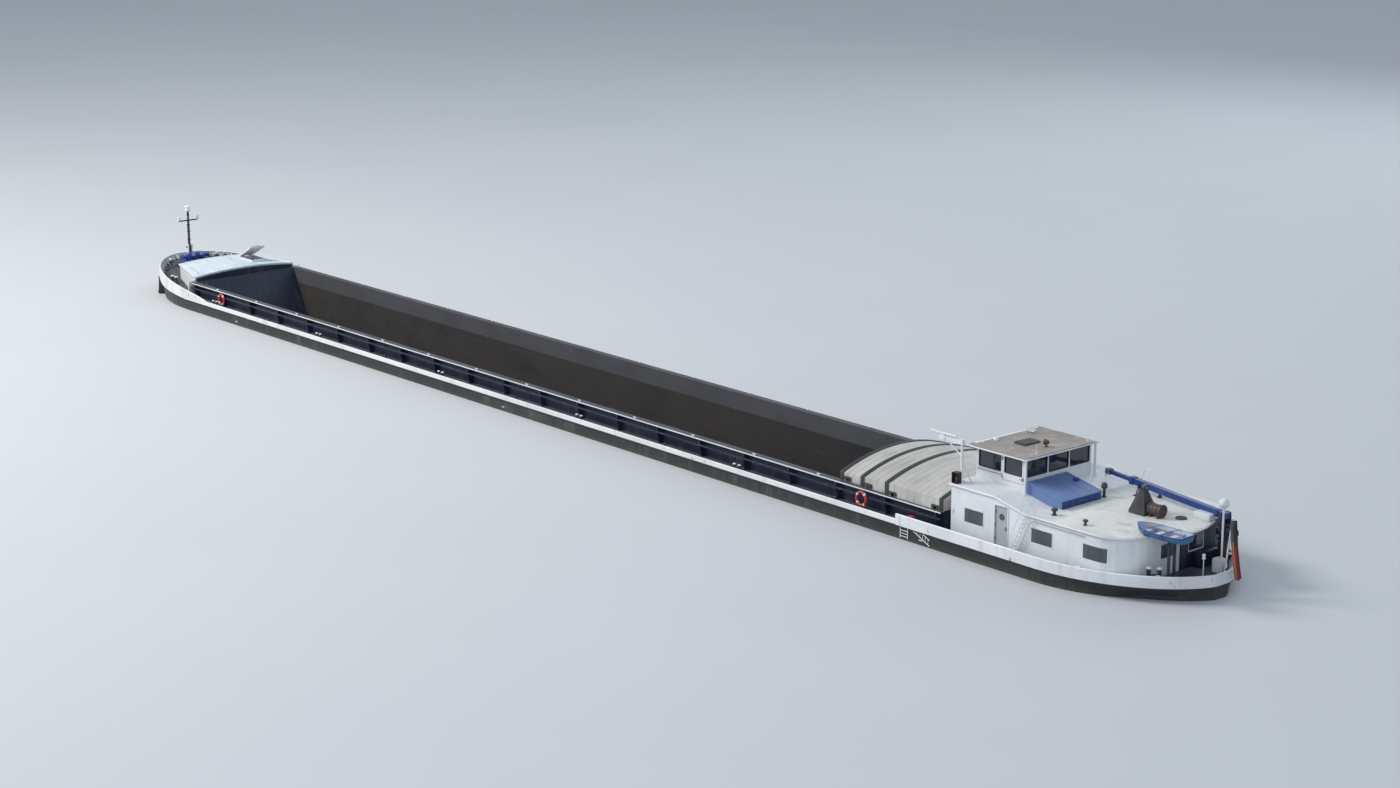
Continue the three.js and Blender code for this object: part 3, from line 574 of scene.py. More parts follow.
FINISH = {
    "hull": hull_paint(),
    "hold": hold_paint(),
    "white": white_paint(),
    "band": white_paint("band_paint", 0.55, 0.5),
    "coaming": coaming_paint(),
    "navy": plain_paint("navy_paint", NAVY, NAVY_SHADE),
    "black": plain_paint("black_paint", BLACK, BLACK_SHADE),
    "windlass": plain_paint("windlass_paint", (0.018, 0.05, 0.29), (0.03, 0.07, 0.34)),
    # The trunk's after face is dark blue: partly paint, partly painted shade for the face that looks aft
    "trunk_walls": white_with_aft_navy_and_shade("trunk_wall_paint_aft_shade", lambda f: f.under(f.facing[0], -0.6, 0.05)),
    # The after faces' starboard half is dark blue: partly paint, partly painted shade under the roof's
    # overhang
    "house_walls": white_with_aft_navy_and_shade("house_wall_paint_aft_shade", lambda f: f.both(f.under(f.facing[0], -0.35, 0.05),
                                                                 f.under(f.axes[1], 0.015))),
    "trunk": roof_paint("trunk_roof_paint", (0.56, 0.65, 0.72), (0.46, 0.55, 0.62), (0.62, 0.7, 0.75)),
    "roof": roof_paint("house_roof_paint", (0.68, 0.69, 0.67), (0.58, 0.585, 0.565), (0.73, 0.73, 0.71)),
    "beige": roof_paint("wheelhouse_roof_paint", (0.3, 0.27, 0.24), (0.245, 0.22, 0.195),
                        (0.41, 0.385, 0.35), 0.25),
    "cover": cover_metal(),
    "blue": plain_paint("crane_paint", BLUE, BLUE_SHADE, (0.25, 0.45)),
    # The hood's blue, painted lighter than its boarded side: partly its own blue, partly painted sky light on
    # the top
    "hood_blue_painted_light": plain_paint("stair_hood_blue_painted_skylight", (0.1, 0.17, 0.37), (0.15, 0.23, 0.43), (0.5, 0.7), 0.4),
    "boat": plain_paint("workboat_paint", (0.02, 0.1, 0.25), (0.03, 0.125, 0.3), (0.3, 0.5)),
    "charcoal": plain_paint("charcoal_paint", (0.026, 0.028, 0.031),
                            (0.05, 0.052, 0.055), (0.4, 0.65), 0.35, 0.3),
    "door": plain_paint("door_paint", (0.4, 0.42, 0.44), (0.33, 0.35, 0.37), (0.35, 0.55)),
    "steel": bare_metal("worn_steel", (0.3, 0.31, 0.32), (0.18, 0.17, 0.16), (0.35, 0.6)),
    "bronze": bare_metal("propeller_bronze", (0.5, 0.33, 0.13), (0.33, 0.24, 0.12), (0.2, 0.45)),
    "seat": plain_paint("seat_vinyl", (0.02, 0.021, 0.024), (0.035, 0.036, 0.04), (0.4, 0.6), 0.1, 0.0),
    "red": plain_paint("red_paint", (0.5, 0.03, 0.02), (0.4, 0.03, 0.02), (0.4, 0.6)),
    "brown": plain_paint("brown_paint", (0.05, 0.035, 0.028), (0.08, 0.055, 0.04), (0.45, 0.65)),
    # A dark face at the back of each house window: painted shade for the room behind it
    "room": plain_paint("room_painted_shade", (0.012, 0.014, 0.018), (0.02, 0.022, 0.026), (0.5, 0.8), 0.1, 0.0),
    "blind": plain_paint("curtain_white", (0.6, 0.6, 0.58), (0.5, 0.5, 0.48), (0.8, 0.95), 0.2, 0.0),
    "glass": lens_glass("window_glass", (0.3, 0.34, 0.37), 0.05, 0.9),
    "tinted": lens_glass("wheelhouse_glass", (0.015, 0.02, 0.03), 0.04, 0.15),
    "boat_inside": plain_paint("workboat_inside", (0.45, 0.55, 0.73),
                               (0.36, 0.47, 0.66), (0.4, 0.6), 0.35, 0.1),
    "wood": oar_wood(),
    "ensign": ensign_cloth(),
    "lamp": lens_glass("lamp_glass", (0.75, 0.76, 0.74), 0.15),
    "red_lens": lens_glass("red_lens", (0.22, 0.008, 0.008), 0.1),
    "green_lens": lens_glass("green_lens", (0.01, 0.3, 0.08), 0.1),
}

CAD_FINISH = {
    "hull": ("hull_bow_section", "hull_stern_section", "hull_wing_port", "hull_wing_starboard"),
    "hold": ("hull_double_bottom",),
    "coaming": ("coaming_port", "coaming_starboard"),
    "navy": ("coaming_fore", "coaming_aft", "hold_bulkhead_fore", "crane_head", "boat_stand"),
    "windlass": ("windlass_frame", "windlass_drums"),
    "black": ("crane_pillar",),
    "trunk_walls": ("trunk_walls",),
    "house_walls": ("house_walls",),
    "band": ("bulwark_bow", "bulwark_stern", "strake_port", "strake_starboard"),
    "white": ("companion_hood", "companion_lid", "mast_tabernacle", "mast", "house_roof_fore",
              "wheelhouse_walls", "wheelhouse_door_port", "wheelhouse_door_starboard", "radar_mast",
              "radar_scanner", "flagstaff"),
    "trunk": ("trunk_roof",),
    "roof": ("house_roof_aft",),
    "beige": ("wheelhouse_roof",),
    "cover": ("hatch_cover_1", "hatch_cover_2", "hatch_cover_3"),
    "blue": ("crane_boom", "crane_extension"),
    "hood_blue_painted_light": ("stair_hood",),
    "boat": ("workboat",),
    "charcoal": ("anchor_port", "anchor_starboard", "bollards_bow_port", "bollards_bow_starboard",
                 "bollards_stern_port", "bollards_stern_starboard", "console", "funnel", "hose_drum",
                 "rudder_port", "rudder_starboard"),
    "door": ("house_door_port", "house_door_starboard"),
    "bronze": ("propeller",),
    "seat": ("helm_chair",),
}
for finish_name, node_names in CAD_FINISH.items():
    for node_name in node_names:
        nodes[node_name].data.materials.clear()
        nodes[node_name].data.materials.append(FINISH[finish_name])


# Lines of the hull, as it was drawn
def clamp(value):
    return min(1.0, max(0.0, value))


def deck_half(x):
    bow = clamp((x - HOLD_FORE) / (HALF_LENGTH - HOLD_FORE))
    stern = clamp((STERN_START - x) / (STERN_START + HALF_LENGTH))
    return SIDE * math.sqrt(1 - bow ** 2) * (1 - stern ** 2) ** 0.6


def deck_height(x):
    return DECK + 0.09 * clamp((x - HOLD_FORE) / (HALF_LENGTH - HOLD_FORE)) ** 1.3


def bulwark_top(x):
    return 0.348 if x < 0 else 0.327 + 0.1035 * clamp(x - 3.2) ** 0.8


def band_foot(x):
    part = clamp((x - 3.5) / 0.3)
    return DECK - 0.008 if x < 0 else deck_height(x) - 0.006 - 0.014 * part ** 2 * (3 - 2 * part)


def eased(start, end, steps):
    return [start + (end - start) * math.sin(i / steps * math.pi / 2) for i in range(steps + 1)]


BOW_STATIONS = [3.2, 3.28, 3.35, HOLD_FORE, *eased(3.5, HALF_LENGTH - BAND, 14)]
STERN_STATIONS = [-2.7, -3.4, *eased(STERN_START, BAND - HALF_LENGTH, 18)]


def edge_line(stations, out, height):
    """Points round one end of the ship along the deck's edge, pushed outwards."""
    port = [(x, deck_half(x)) for x in stations]
    line = port + [(x, -y) for x, y in reversed(port)]
    if stations[-1] < 0:
        line.reverse()
    points = []
    for i, (x, y) in enumerate(line):
        before, after = line[max(0, i - 1)], line[min(len(line) - 1, i + 1)]
        along = Vector((after[0] - before[0], after[1] - before[1])).normalized()
        points.append((x - along.y * out, y + along.x * out, height(x)))
    return points


def several(model, name, spots):
    """Copies a model made about the origin to each (place, heading, size), as one piece."""
    copies = []
    for place, heading, size in spots:
        twin = copied(model, name)
        spin = Matrix.Rotation(heading, 4, "Z")
        twin.data.transform(Matrix.Translation(place) @ spin @ Matrix.Diagonal((*size, 1)))
        copies.append(twin)
    alone(model)
    bpy.ops.object.delete()
    return joined(name, copies)


def painted_over(piece, finish, wanted):
    """Gives the wanted faces another finish."""
    piece.data.materials.append(finish)
    for face in piece.data.polygons:
        if wanted(face.center, face.normal):
            face.material_index = len(piece.data.materials) - 1
    return piece


EVEN = (1, 1, 1)


# Hull edges and side decks
def bulwark_trim():
    for end, stations in (("bow", BOW_STATIONS), ("stern", STERN_STATIONS)):
        cap = pipe(f"cap_rail_{end}", edge_line(stations, 0.0025, bulwark_top), 0.0053)
        fitted(cap, "white")
        low = edge_line(stations, 0.0041, lambda x: band_foot(x) - 0.0035)
        fitted(pipe(f"rubbing_bar_{end}", low, 0.0038), "black")
        knee = plate("knee", [(0, 0, 0), (0, -0.028, 0), (0, -0.007, 1), (0, 0, 1)], (0.003, 0, 0))
        spots = []
        inner = edge_line(stations, -0.0005, deck_height)
        for before, spot, after in zip(inner[2:-3], inner[3:-2], inner[4:-1]):
            along = Vector(after) - Vector(before)
            rise = bulwark_top(spot[0]) - spot[2] - 0.002
            spots.append((spot, math.atan2(along.y, along.x), (1, 1, rise)))
        fitted(several(knee, f"bulwark_knees_{end}", spots), "white")
    for side, hand in SIDES:
        y = side * (SIDE + 0.0041)
        bar = pipe(f"rubbing_bar_{hand}", [(-2.7, y, 0.3005), (3.2, y, 0.3005)], 0.0038)
        fitted(bar, "black")
        edge = pipe(f"gunwale_bar_{hand}", [(-2.698, y, 0.3255), (3.198, y, 0.3255)], 0.0032)
        fitted(edge, "band")


def bollard_model(name, height=0.036):
    """Two posts on a doubler plate, their heads painted white."""
    base = slab(name, (-0.038, 0.038), (-0.014, 0.014), (-0.006, 0.0045), 0.002)
    parts = [base]
    for x in (-0.022, 0.022):
        profile = [(0, 0.001), (0.0105, 0.001), (0.009, 0.006), (0.0088, height - 0.006),
                   (0.0118, height - 0.002), (0.0122, height), (0.0115, height + 0.0025),
                   (0.008, height + 0.004), (0, height + 0.0045)]
        parts.append(turned(name, (x, 0, 0), profile, steps=20))
    bar = drum(name, (0, 0, height * 0.55), 0.0035, 0.05, "x", 12)
    return joined(name, parts + [bar])


def heads_white(piece, over):
    return painted_over(piece, FINISH["white"], lambda place, normal: place.z > over)


def deck_bollards():
    ends = (("bow", 3.76, 0.312, 0.0, 0.036), ("stern", -3.992, 0.226, math.radians(37.5), 0.068))
    for side, hand in SIDES:
        for end, x, y, turn, height in ends:
            deck = deck_height(x)
            spots = [((x, side * y, deck), side * turn, EVEN)]
            piece = several(bollard_model("bollard", height), f"bollard_posts_{end}_{hand}", spots)
            fitted(piece, "charcoal")
            heads_white(piece, deck + height - 0.0045)
            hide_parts(f"bollards_{end}_{hand}")
        spots = [((x, side * 0.4045, DECK), 0, (0.8, 0.62, 0.8))
                 for x in (-2.82, -1.62, -0.42, 0.78, 1.98, 3.12)]
        piece = several(bollard_model("bollard"), f"side_bollards_{hand}", spots)
        fitted(piece, "charcoal")
        heads_white(piece, DECK + 0.0265)


def side_deck_gear():
    """Air pipes, tank lids and the fire box on the side decks, and the life rings on the coaming."""
    profile = [(0, 0), (0.0085, 0), (0.0085, 0.002), (0.004, 0.0025), (0.004, 0.02), (0.0088, 0.021),
               (0.009, 0.024), (0.006, 0.028), (0, 0.029)]
    for side, hand in SIDES:
        spots = [((x, side * 0.409, DECK), 0, EVEN) for x in (-2.3, -1.1, 0.1, 1.3, 2.5)]
        pipes = several(turned("air_pipe", (0, 0, 0), profile, steps=14), f"air_pipes_{hand}", spots)
        fitted(pipes, "navy")
        lid = turned("tank_lid", (0, 0, 0),
                     [(0, 0), (0.011, 0), (0.011, 0.0025), (0.0085, 0.003), (0.0085, 0.0045), (0, 0.005)],
                     steps=18)
        spots = [((x, side * 0.406, DECK), 0, EVEN) for x in (-2.0, -0.8, 0.4, 1.6, 2.8)]
        fitted(several(lid, f"tank_lids_{hand}", spots), "steel")
        cleat = joined("cleat", [
            slab("cleat", (-0.012, 0.012), (-0.0025, 0.0025), (0.004, 0.0068), 0.001),
            block("cleat", (-0.0045, 0.0045), (-0.002, 0.002), (-0.0005, 0.0045)),
        ])
        spots = [((-2.15 + 0.44 * i, side * 0.3765, COAMING_TOP), 0, EVEN) for i in range(13)]
        fitted(several(cleat, f"coaming_cleats_{hand}", spots), "white")
    for name, x in (("fore", 3.06), ("aft", -2.45)):
        ring = hoop(f"life_ring_{name}", (x, 0.3955, 0.357), 0.03, 0.0066, "y", 36, 10)
        fitted(ring, "red")

        def sleeve(place, normal, x=x):
            turn = math.degrees(math.atan2(place.z - 0.357, place.x - x)) % 90
            return 35 < turn < 55
        painted_over(ring, FINISH["white"], sleeve)
        hook = pipe(f"ring_hook_{name}", [(x, 0.386, 0.372), (x, 0.3955, 0.379), (x, 0.404, 0.3915)], 0.0016)
        fitted(hook, "steel")
    box = slab("fire_box", (-2.79, -2.755), (0.3925, 0.4165), (DECK, 0.352), 0.002)
    inset(box, lambda place, normal: normal.y > 0.9 and place.y > 0.41, 0.003, -0.0015)
    fitted(box, "red")


def boarding_ladder():
    """A light ladder over the port side by the after end of the hold, and the gangway stowed by it."""
    y = 0.4265
    parts = []
    for x in (-2.775, -2.73):
        parts.append(pipe("rail", [(x, 0.418, 0.345), (x, y, 0.348), (x, y, 0.25)], 0.002))
    for i in range(7):
        z = 0.258 + 0.0132 * i
        parts.append(pipe("rung", [(-2.775, y, z), (-2.73, y, z)], 0.0015, 2))
    for z in (0.338, 0.312):
        parts.append(pipe("stringer", [(-2.775, y, z), (-2.91, y, z - 0.062)], 0.0019, 2))
    for i in range(8):
        x, z = -2.785 - 0.0165 * i, 0.3335 - 0.0076 * i
        parts.append(pipe("step", [(x, y, z), (x, y, z - 0.026)], 0.0013, 2))
    fitted(joined("boarding_ladder", parts), "white")


def hold_fittings():
    """Ladders down both ends, guard bars along the foot of the sides and covers on the bilge wells."""
    for name, foot, head in (("fore", 3.238, 3.4235), ("aft", HOLD_AFT + 0.008, HOLD_AFT + 0.008)):
        parts = [pipe("rail", [(foot, y, 0.05), (head, y, 0.392)], 0.0022) for y in (0.285, 0.315)]
        low = foot + (head - foot) * 0.06
        rung = pipe("rung", [(low, 0.285, 0.0705), (low, 0.315, 0.0705)], 0.0016, 2)
        worked(rung, "ARRAY", count=12, use_relative_offset=False, use_constant_offset=True,
               constant_offset_displace=((head - foot) * 0.0818, 0, 0.028))
        fitted(joined(f"hold_ladder_{name}", parts + [rung]), "steel")
    for side, hand in SIDES:
        near, far = sorted((side * 0.336, side * 0.3446))
        bar = block(f"hold_guard_{hand}", (HOLD_AFT + 0.002, 3.238), (near, far), (0.046, 0.062))
        fitted(softened(bar, 0.003), "hold")
    wells = several(slab("well", (-0.06, 0.06), (-0.045, 0.045), (0, 0.004), 0.002), "bilge_covers", [
        ((3.14, -0.25, 0.045), 0, EVEN), ((3.14, 0.25, 0.045), 0, EVEN), ((-2.8, -0.25, 0.045), 0, EVEN),
    ])
    inset(wells, upper(0.0485), 0.006, -0.0015, True)
    fitted(wells, "steel")


# Bow
def windlass():
    x, axle, deck = 4.04, 0.425012, deck_height(4.04)
    base = slab("base", (x - 0.034, x + 0.034), (-0.062, 0.062), (deck - 0.012, deck + 0.008), 0.002)
    parts = [base]
    for y in (-0.059, -0.005, 0.049):
        shape = [(-0.031, deck), (0.031, deck), (0.017, axle + 0.004), (0.011, axle + 0.0125),
                 (-0.011, axle + 0.0125), (-0.017, axle + 0.004)]
        parts.append(softened(plate("cheek", [(x + u, y, w) for u, w in shape], (0, 0.01, 0)), 0.0015))
    parts.append(slab("motor", (x - 0.032, x - 0.006), (0.062, 0.088), (deck + 0.004, deck + 0.028), 0.003))
    parts.append(drum("motor", (x - 0.018, 0.1, deck + 0.017), 0.009, 0.03, "y", 18))
    frame_piece = fitted(joined("windlass_bed", parts), "windlass")
    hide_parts("windlass_frame")
    wheels = []
    for y in (-0.03, 0.03):
        wheels.append(pipe("spindle", [(x - 0.03, y, deck), (x - 0.038, y, axle + 0.012)], 0.002))
        wheels.append(hoop("wheel", (x - 0.038, y, axle + 0.013), 0.012, 0.0016, "z", 20, 6))
        wheels.append(drum("spoke", (x - 0.038, y, axle + 0.013), 0.0012, 0.024, "y", 8))
        wheels.append(drum("spoke", (x - 0.038, y, axle + 0.013), 0.0012, 0.024, "x", 8))
    fitted(joined("brake_wheels", wheels), "steel")

    gypsy = [(0.0062, -0.017), (0.0245, -0.017), (0.0248, -0.013), (0.0185, -0.006), (0.0185, 0.006),
             (0.0248, 0.013), (0.0245, 0.017), (0.0062, 0.017)]
    warping = [(0.0062, -0.012), (0.0135, -0.012), (0.0105, -0.005), (0.0105, 0.006), (0.014, 0.0125),
               (0.0178, 0.0145), (0.0178, 0.0178), (0, 0.0178)]
    parts = [drum("shaft", (x, 0, axle), 0.0064, 0.186, "y", 20)]
    for side in (1, -1):
        parts.append(turned("gypsy", (x, side * 0.028, axle), gypsy, "y", 28))
        parts.append(turned("warping", (x, side * 0.0768, axle),
                            [(r, side * h) for r, h in warping], "y", 24))
    gear = drum("gear", (x, 0.0095, axle), 0.0215, 0.006, "y", 36)
    chosen(gear, faces=lambda place, normal: abs(normal.y) < 0.2
           and int((math.degrees(math.atan2(normal.z, normal.x)) + 360) / 10) % 2 == 0)
    bpy.ops.mesh.inset(thickness=0.0002, depth=0.0026, use_individual=True)
    free()
    drums = fitted(joined("chain_wheels", parts + [gear]), "windlass", body="drums")
    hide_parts("windlass_drums")


def anchor_gear():
    """Stockless anchors in their pockets, with chain from the windlass to the deck pipes."""
    x = 3.96
    heading = math.atan2(deck_half(x + 0.02) - deck_half(x - 0.02), 0.04)
    for side, hand in SIDES:
        shank = block("shank", (-0.0042, 0.0042), (0.001, 0.0088), (-0.05, 0.038))
        chosen(shank, faces=lambda place, normal: normal.z > 0.9)
        bpy.ops.transform.resize(value=(0.7, 0.75, 1), center_override=(0, 0.001, 0.038))
        free()
        head = drum("head", (0, 0.0075, -0.051), 0.0065, 0.05, "x", 16)
        parts = [softened(shank, 0.0012), softened(head, 0.0012)]
        for flank in (1, -1):
            shape = [(0.012, -0.055), (0.0295, -0.057), (0.03, -0.034), (0.0245, -0.0125), (0.019, -0.028),
                     (0.0135, -0.04)]
            fluke = plate("fluke", [(flank * u, 0.003, w) for u, w in shape], (0, 0.006, 0))
            parts.append(softened(fluke, 0.001))
        parts.append(hoop("shackle", (0, 0.005, 0.0405), 0.0042, 0.0014, "x", 16, 6))
        spots = [((x, side * (deck_half(x) + BAND + 0.0012), 0.3), side * heading, (1, side, 1))]
        anchor = cleaned(several(joined("anchor", parts), f"stockless_anchor_{hand}", spots))
        rest = [(-0.036, 0.0008, 0.046), (-0.036, 0.0008, -0.058),
                (-0.036, -0.058, -0.036), (-0.036, -0.03, 0.046)]
        pad = softened(plate("bolster", rest, (0.072, 0, 0)), 0.006, 3)
        pad = cleaned(several(pad, f"anchor_bolster_{hand}", spots))
        fitted(pad, "black")
        fitted(anchor, "charcoal")
        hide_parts(f"anchor_{hand}")

        end = Vector((3.985, side * 0.244, deck_height(3.985) + 0.008))
        start = Vector((4.045, side * 0.028, 0.449))
        low = Vector((4.07, side * 0.06, deck_height(4.07) + 0.006))
        route = [start.lerp(low, i / 5) for i in range(5)] + [low.lerp(end, i / 17) for i in range(18)]
        links = []
        for i, (a, b) in enumerate(zip(route, route[1:])):
            link = hoop("link", (0, 0, 0), 0.0052, 0.0015, "z", 10, 6)
            link.data.transform(Matrix.Diagonal((1.45, 0.8, 1, 1)))
            aim = (b - a).to_track_quat("X", "Z").to_matrix().to_4x4()
            roll = Matrix.Rotation(math.radians(90 * (i % 2)), 4, "X")
            link.data.transform(Matrix.Translation((a + b) / 2) @ aim @ roll)
            links.append(link)
        fitted(joined(f"anchor_chain_{hand}", links), "steel")
        pocket = turned(f"deck_pipe_{hand}", (end.x, end.y, deck_height(end.x)), [
            (0.009, -0.006), (0.019, -0.006), (0.019, 0.003), (0.016, 0.008), (0.011, 0.009), (0.009, 0.004),
            (0.009, -0.006)], steps=22)
        fitted(pocket, "charcoal")


def lamp(name, spot, radius, height):
    """A lantern: a base, a ribbed glass and a cap."""
    r, h = radius, height
    profile = [(0, 0), (r, 0), (r, 0.2 * h), (0.8 * r, 0.24 * h), (0.8 * r, 0.7 * h), (1.05 * r, 0.74 * h),
               (0.9 * r, 0.88 * h), (0.4 * r, h), (0, h)]
    return turned(name, spot, profile, steps=20)


def mast():
    x, foot, top = 4.105, deck_height(4.105) + 0.014, 0.74
    pole = drum("pole", (x, 0, (foot + top - 0.022) / 2), 0.0085, top - 0.022 - foot, "z", 20, 0.006)
    parts = [pole, drum("pin", (x, 0, 0.475), 0.0032, 0.036, "y", 14),
             drum("yard", (x, 0, 0.645), 0.0042, 0.136, "y", 12)]
    for z in (0.52, 0.575, 0.615, 0.68):
        parts.append(turned("band", (x, 0, z),
                            [(0.005, -0.003), (0.0098, -0.003), (0.0098, 0.003), (0.005, 0.003)]))
    for i in range(6):
        z = 0.53 + 0.022 * i
        parts.append(drum("peg", (x, 0, z), 0.0012, 0.026, "y", 8))
    spar = fitted(joined("mast_pole", parts), "navy", body="mast")
    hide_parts("mast")
    lamps = [lamp("lamp", (x, 0, top - 0.034), 0.019, 0.034)]
    lamps += [lamp("lamp", (x, y, 0.648), 0.011, 0.026) for y in (-0.066, 0.066)]
    lamps.append(lamp("lamp", (x + 0.017, 0, 0.6), 0.0095, 0.022))
    piece = fitted(joined("mast_lanterns", lamps), "white", body="mast")
    for low, high in ((top - 0.0255, top - 0.0105), (0.6543, 0.6662), (0.6053, 0.6154)):
        painted_over(piece, FINISH["lamp"],
                     lambda place, normal: low < place.z < high and abs(normal.z) < 0.3)
    bolts = [drum("bolt", (x, y, 0.475), 0.0055, 0.003, "y", 6) for y in (-0.0205, 0.0205)]
    fitted(joined("mast_pin_nuts", bolts), "steel")


def trunk_trim():
    """Edging round the trunk roof, its grab rails, and the gear of the companion lid."""
    def crown(y):
        return 0.415 + 0.024 * (1 - (y / 0.365) ** 2)
    steps = [i / 12 for i in range(-12, 13)]
    fore, aft = 3.8135, 3.4425
    for name, x, half in (("fore", fore, 0.2455), ("aft", aft, 0.3485)):
        line = [(x, half * s, crown(half * s) + 0.0085) for s in steps]
        finish = "white" if name == "fore" else "trunk"
        fitted(pipe(f"trunk_edge_{name}", line, 0.0034), finish)
    for side, hand in SIDES:
        line = []
        for i in range(9):
            part = i / 8
            y = 0.3485 - 0.103 * part
            line.append((aft + (fore - aft) * part, side * y, crown(y) + 0.0085))
        fitted(pipe(f"trunk_edge_{hand}", line, 0.0034), "white")
        rail = [(3.5, side * 0.3, crown(0.3) + 0.008), (3.5, side * 0.3, 0.452), (3.74, side * 0.24, 0.462),
                (3.74, side * 0.24, crown(0.24) + 0.008)]
        fitted(pipe(f"trunk_grab_rail_{hand}", rail, 0.0022), "white")
        posts = [slab("post", (3.4405, 3.447), (side * 0.3935 - 0.0035, side * 0.3935 + 0.0035),
                                (DECK, 0.4135), 0.0008),
                 softened(plate("wing", [(3.4385, side * 0.347, 0.414), (3.4385, side * 0.3965, 0.3995),
                                         (3.4385, side * 0.3965, DECK), (3.4385, side * 0.347, DECK)],
                                (0.0035, 0, 0)), 0.0006)]
        fitted(joined(f"coaming_end_{hand}", posts), "white")

    # The lid is open at rest: its gear is set out on the closed lid, then swung with it
    swing = {"turn": math.radians(28), "about": (3.68, -0.161, 0.463), "axis": "Y"}
    rim = block("companion_lid_rim", (3.53, 3.676), (-0.2155, -0.1065), (0.4595, 0.4632))
    inset(rim, lambda place, normal: normal.z < -0.9, 0.008, -0.002)
    fitted(moved(softened(rim, 0.0008), **swing), "white", body="lid")
    handle = pipe("companion_lid_handle",
                  [(3.545, -0.185, 0.467), (3.545, -0.185, 0.477), (3.545, -0.137, 0.477),
                   (3.545, -0.137, 0.467)], 0.0018)
    fitted(moved(handle, **swing), "steel", body="lid")
    knuckles = [drum("knuckle", (3.684, y, 0.461), 0.0042, 0.02, "y", 14) for y in (-0.19, -0.132)]
    fitted(joined("companion_hinges", knuckles), "steel")


def foredeck_gear():
    """Air pipes before the trunk, the roller fairlead and the hatch to the forepeak."""
    vent = turned("vent", (0, 0, 0),
                  [(0, -0.01), (0.015, -0.01), (0.015, 0.003), (0.0095, 0.005), (0.0095, 0.06),
                   (0.0165, 0.062), (0.0175, 0.07), (0.012, 0.079), (0, 0.081)])
    spots = [((x, y, deck_height(x)), 0, (1, 1, size)) for x, y, size in (
        (3.93, -0.09, 0.95), (3.872, -0.118, 1.12), (3.846, -0.172, 1.15))]
    vents = fitted(several(vent, "foredeck_vents", spots), "navy")
    heads_white(vents, 0.447)
    for side, hand in SIDES:
        x, y = 4.052, side * 0.168
        deck = deck_height(x)
        roller = turned("roller", (x, y, deck),
                        [(0, -0.01), (0.013, -0.01), (0.013, 0.004), (0.0075, 0.01), (0.0075, 0.03),
                         (0.0125, 0.038), (0.0125, 0.044), (0, 0.046)])
        seat = slab("seat", (x - 0.02, x + 0.02), (y - 0.02, y + 0.02), (deck - 0.01, deck + 0.003), 0.002)
        piece = fitted(joined(f"bow_roller_{hand}", [roller, seat]), "charcoal")
        heads_white(piece, deck + 0.033)
    lid = slab("forepeak_lid", (3.86, 3.91), (0.05, 0.11), (deck_height(3.86) - 0.004, 0.366), 0.003)
    inset(lid, upper(0.36), 0.006, 0.0015)
    fitted(lid, "navy")


# Hatch covers
def arch(half, eave, crown, steps=12):
    """The round of a cover across the ship, from starboard to port."""
    rise = crown - eave
    radius = (half ** 2 + rise ** 2) / (2 * rise)
    spread = math.asin(half / radius)
    turns = [spread * i / steps for i in range(-steps, steps + 1)]
    return [(radius * math.sin(turn), crown - radius + radius * math.cos(turn)) for turn in turns]


COVER_FOOT = 0.4035


def cover_outline(half, eave, crown, out, x):
    """A cover's outline down to the coaming, moved outwards."""
    curve = [(x, y, z + out) for y, z in arch(half + out, eave, crown)]
    return [(x, -half - out, COVER_FOOT), *curve, (x, half + out, COVER_FOOT)]


def cover_gear():
    """Rim bars along both edges of each cover, its rollers, and the walls that close the covers' ends."""
    covers = (("low", -2.63, -2.27, 0.349, 0.434, 0.502), ("middle", -2.772, -2.412, 0.358, 0.443, 0.511),
              ("high", -2.935, -2.575, 0.367, 0.452, 0.52))
    for name, aft, fore, half, eave, crown in covers:
        rims = []
        for x in (fore - 0.0235, aft - 0.0005):
            rim = drawn("rim", cover_outline(half, eave, crown, 0.0057, x))
            opened(rim)
            bpy.ops.mesh.extrude_edges_move(TRANSFORM_OT_translate={"value": (0.024, 0, 0)})
            free()
            worked(rim, "SOLIDIFY", thickness=0.0026, offset=0)
            rims.append(softened(rim, 0.0005, 1))
        fitted(joined(f"cover_rims_{name}", rims), "black", body=f"cover_{name}")
        wheels = []
        for side in (1, -1):
            near, far = sorted((side * (half + 0.003), side * (half + 0.0078)))
            for x in (aft + 0.05, fore - 0.05):
                wheels.append(slab("housing", (x - 0.022, x + 0.022), (near, far), (0.4045, 0.424), 0.001))
                wheels.append(drum("wheel", (x, side * (half + 0.0058), 0.4105), 0.0085, 0.004, "y", 18))
        fitted(joined(f"cover_rollers_{name}", wheels), "charcoal", body=f"cover_{name}")
        # The fore end wall slides with the lowest cover, and the after one stands on the hull
        if name == "low":
            wall = plate("cover_end_fore",
                         cover_outline(half, eave, crown, -0.0008, fore - 0.0045), (0.003, 0, 0))
            fitted(wall, "cover", body="cover_low")
        if name == "high":
            wall = plate("hold_end_wall_aft",
                         cover_outline(half, eave, crown, -0.0012, aft + 0.0015), (0.003, 0, 0))
            fitted(wall, "cover")


# House
def window_model():
    """A window about the origin facing port: a rounded frame, the back of its recess painted dark as painted
    shade for the room behind it, curtains and a pane.
    """
    wide, high = 0.05, 0.031
    body = block("frame", (-wide - 0.005, wide + 0.005), (-0.0055, 0.0028), (-high - 0.005, high + 0.005))
    inset(body, lambda place, normal: normal.y > 0.9, 0.0075, -0.005)
    body = softened(body, 0.0016)
    drapes = []
    for side in (1, -1):
        folds = 7
        line = []
        for i in range(2 * folds + 1):
            u = side * (wide - 0.0035 - 0.0165 * i / (2 * folds))
            line.append((u, -0.0006 + 0.0007 * (-1) ** i, -high + 0.003))
        curtain = drawn("curtain", line)
        opened(curtain)
        bpy.ops.mesh.extrude_edges_move(TRANSFORM_OT_translate={"value": (0, 0, 2 * high - 0.007)})
        free()
        drapes.append(worked(curtain, "SOLIDIFY", thickness=0.0004, offset=0))
    pane = slab("pane", (-wide + 0.001, wide - 0.001), (0.0006, 0.0014),
                (-high + 0.001, high - 0.001), 0.0002, 1)
    return body, joined("curtains", drapes), pane


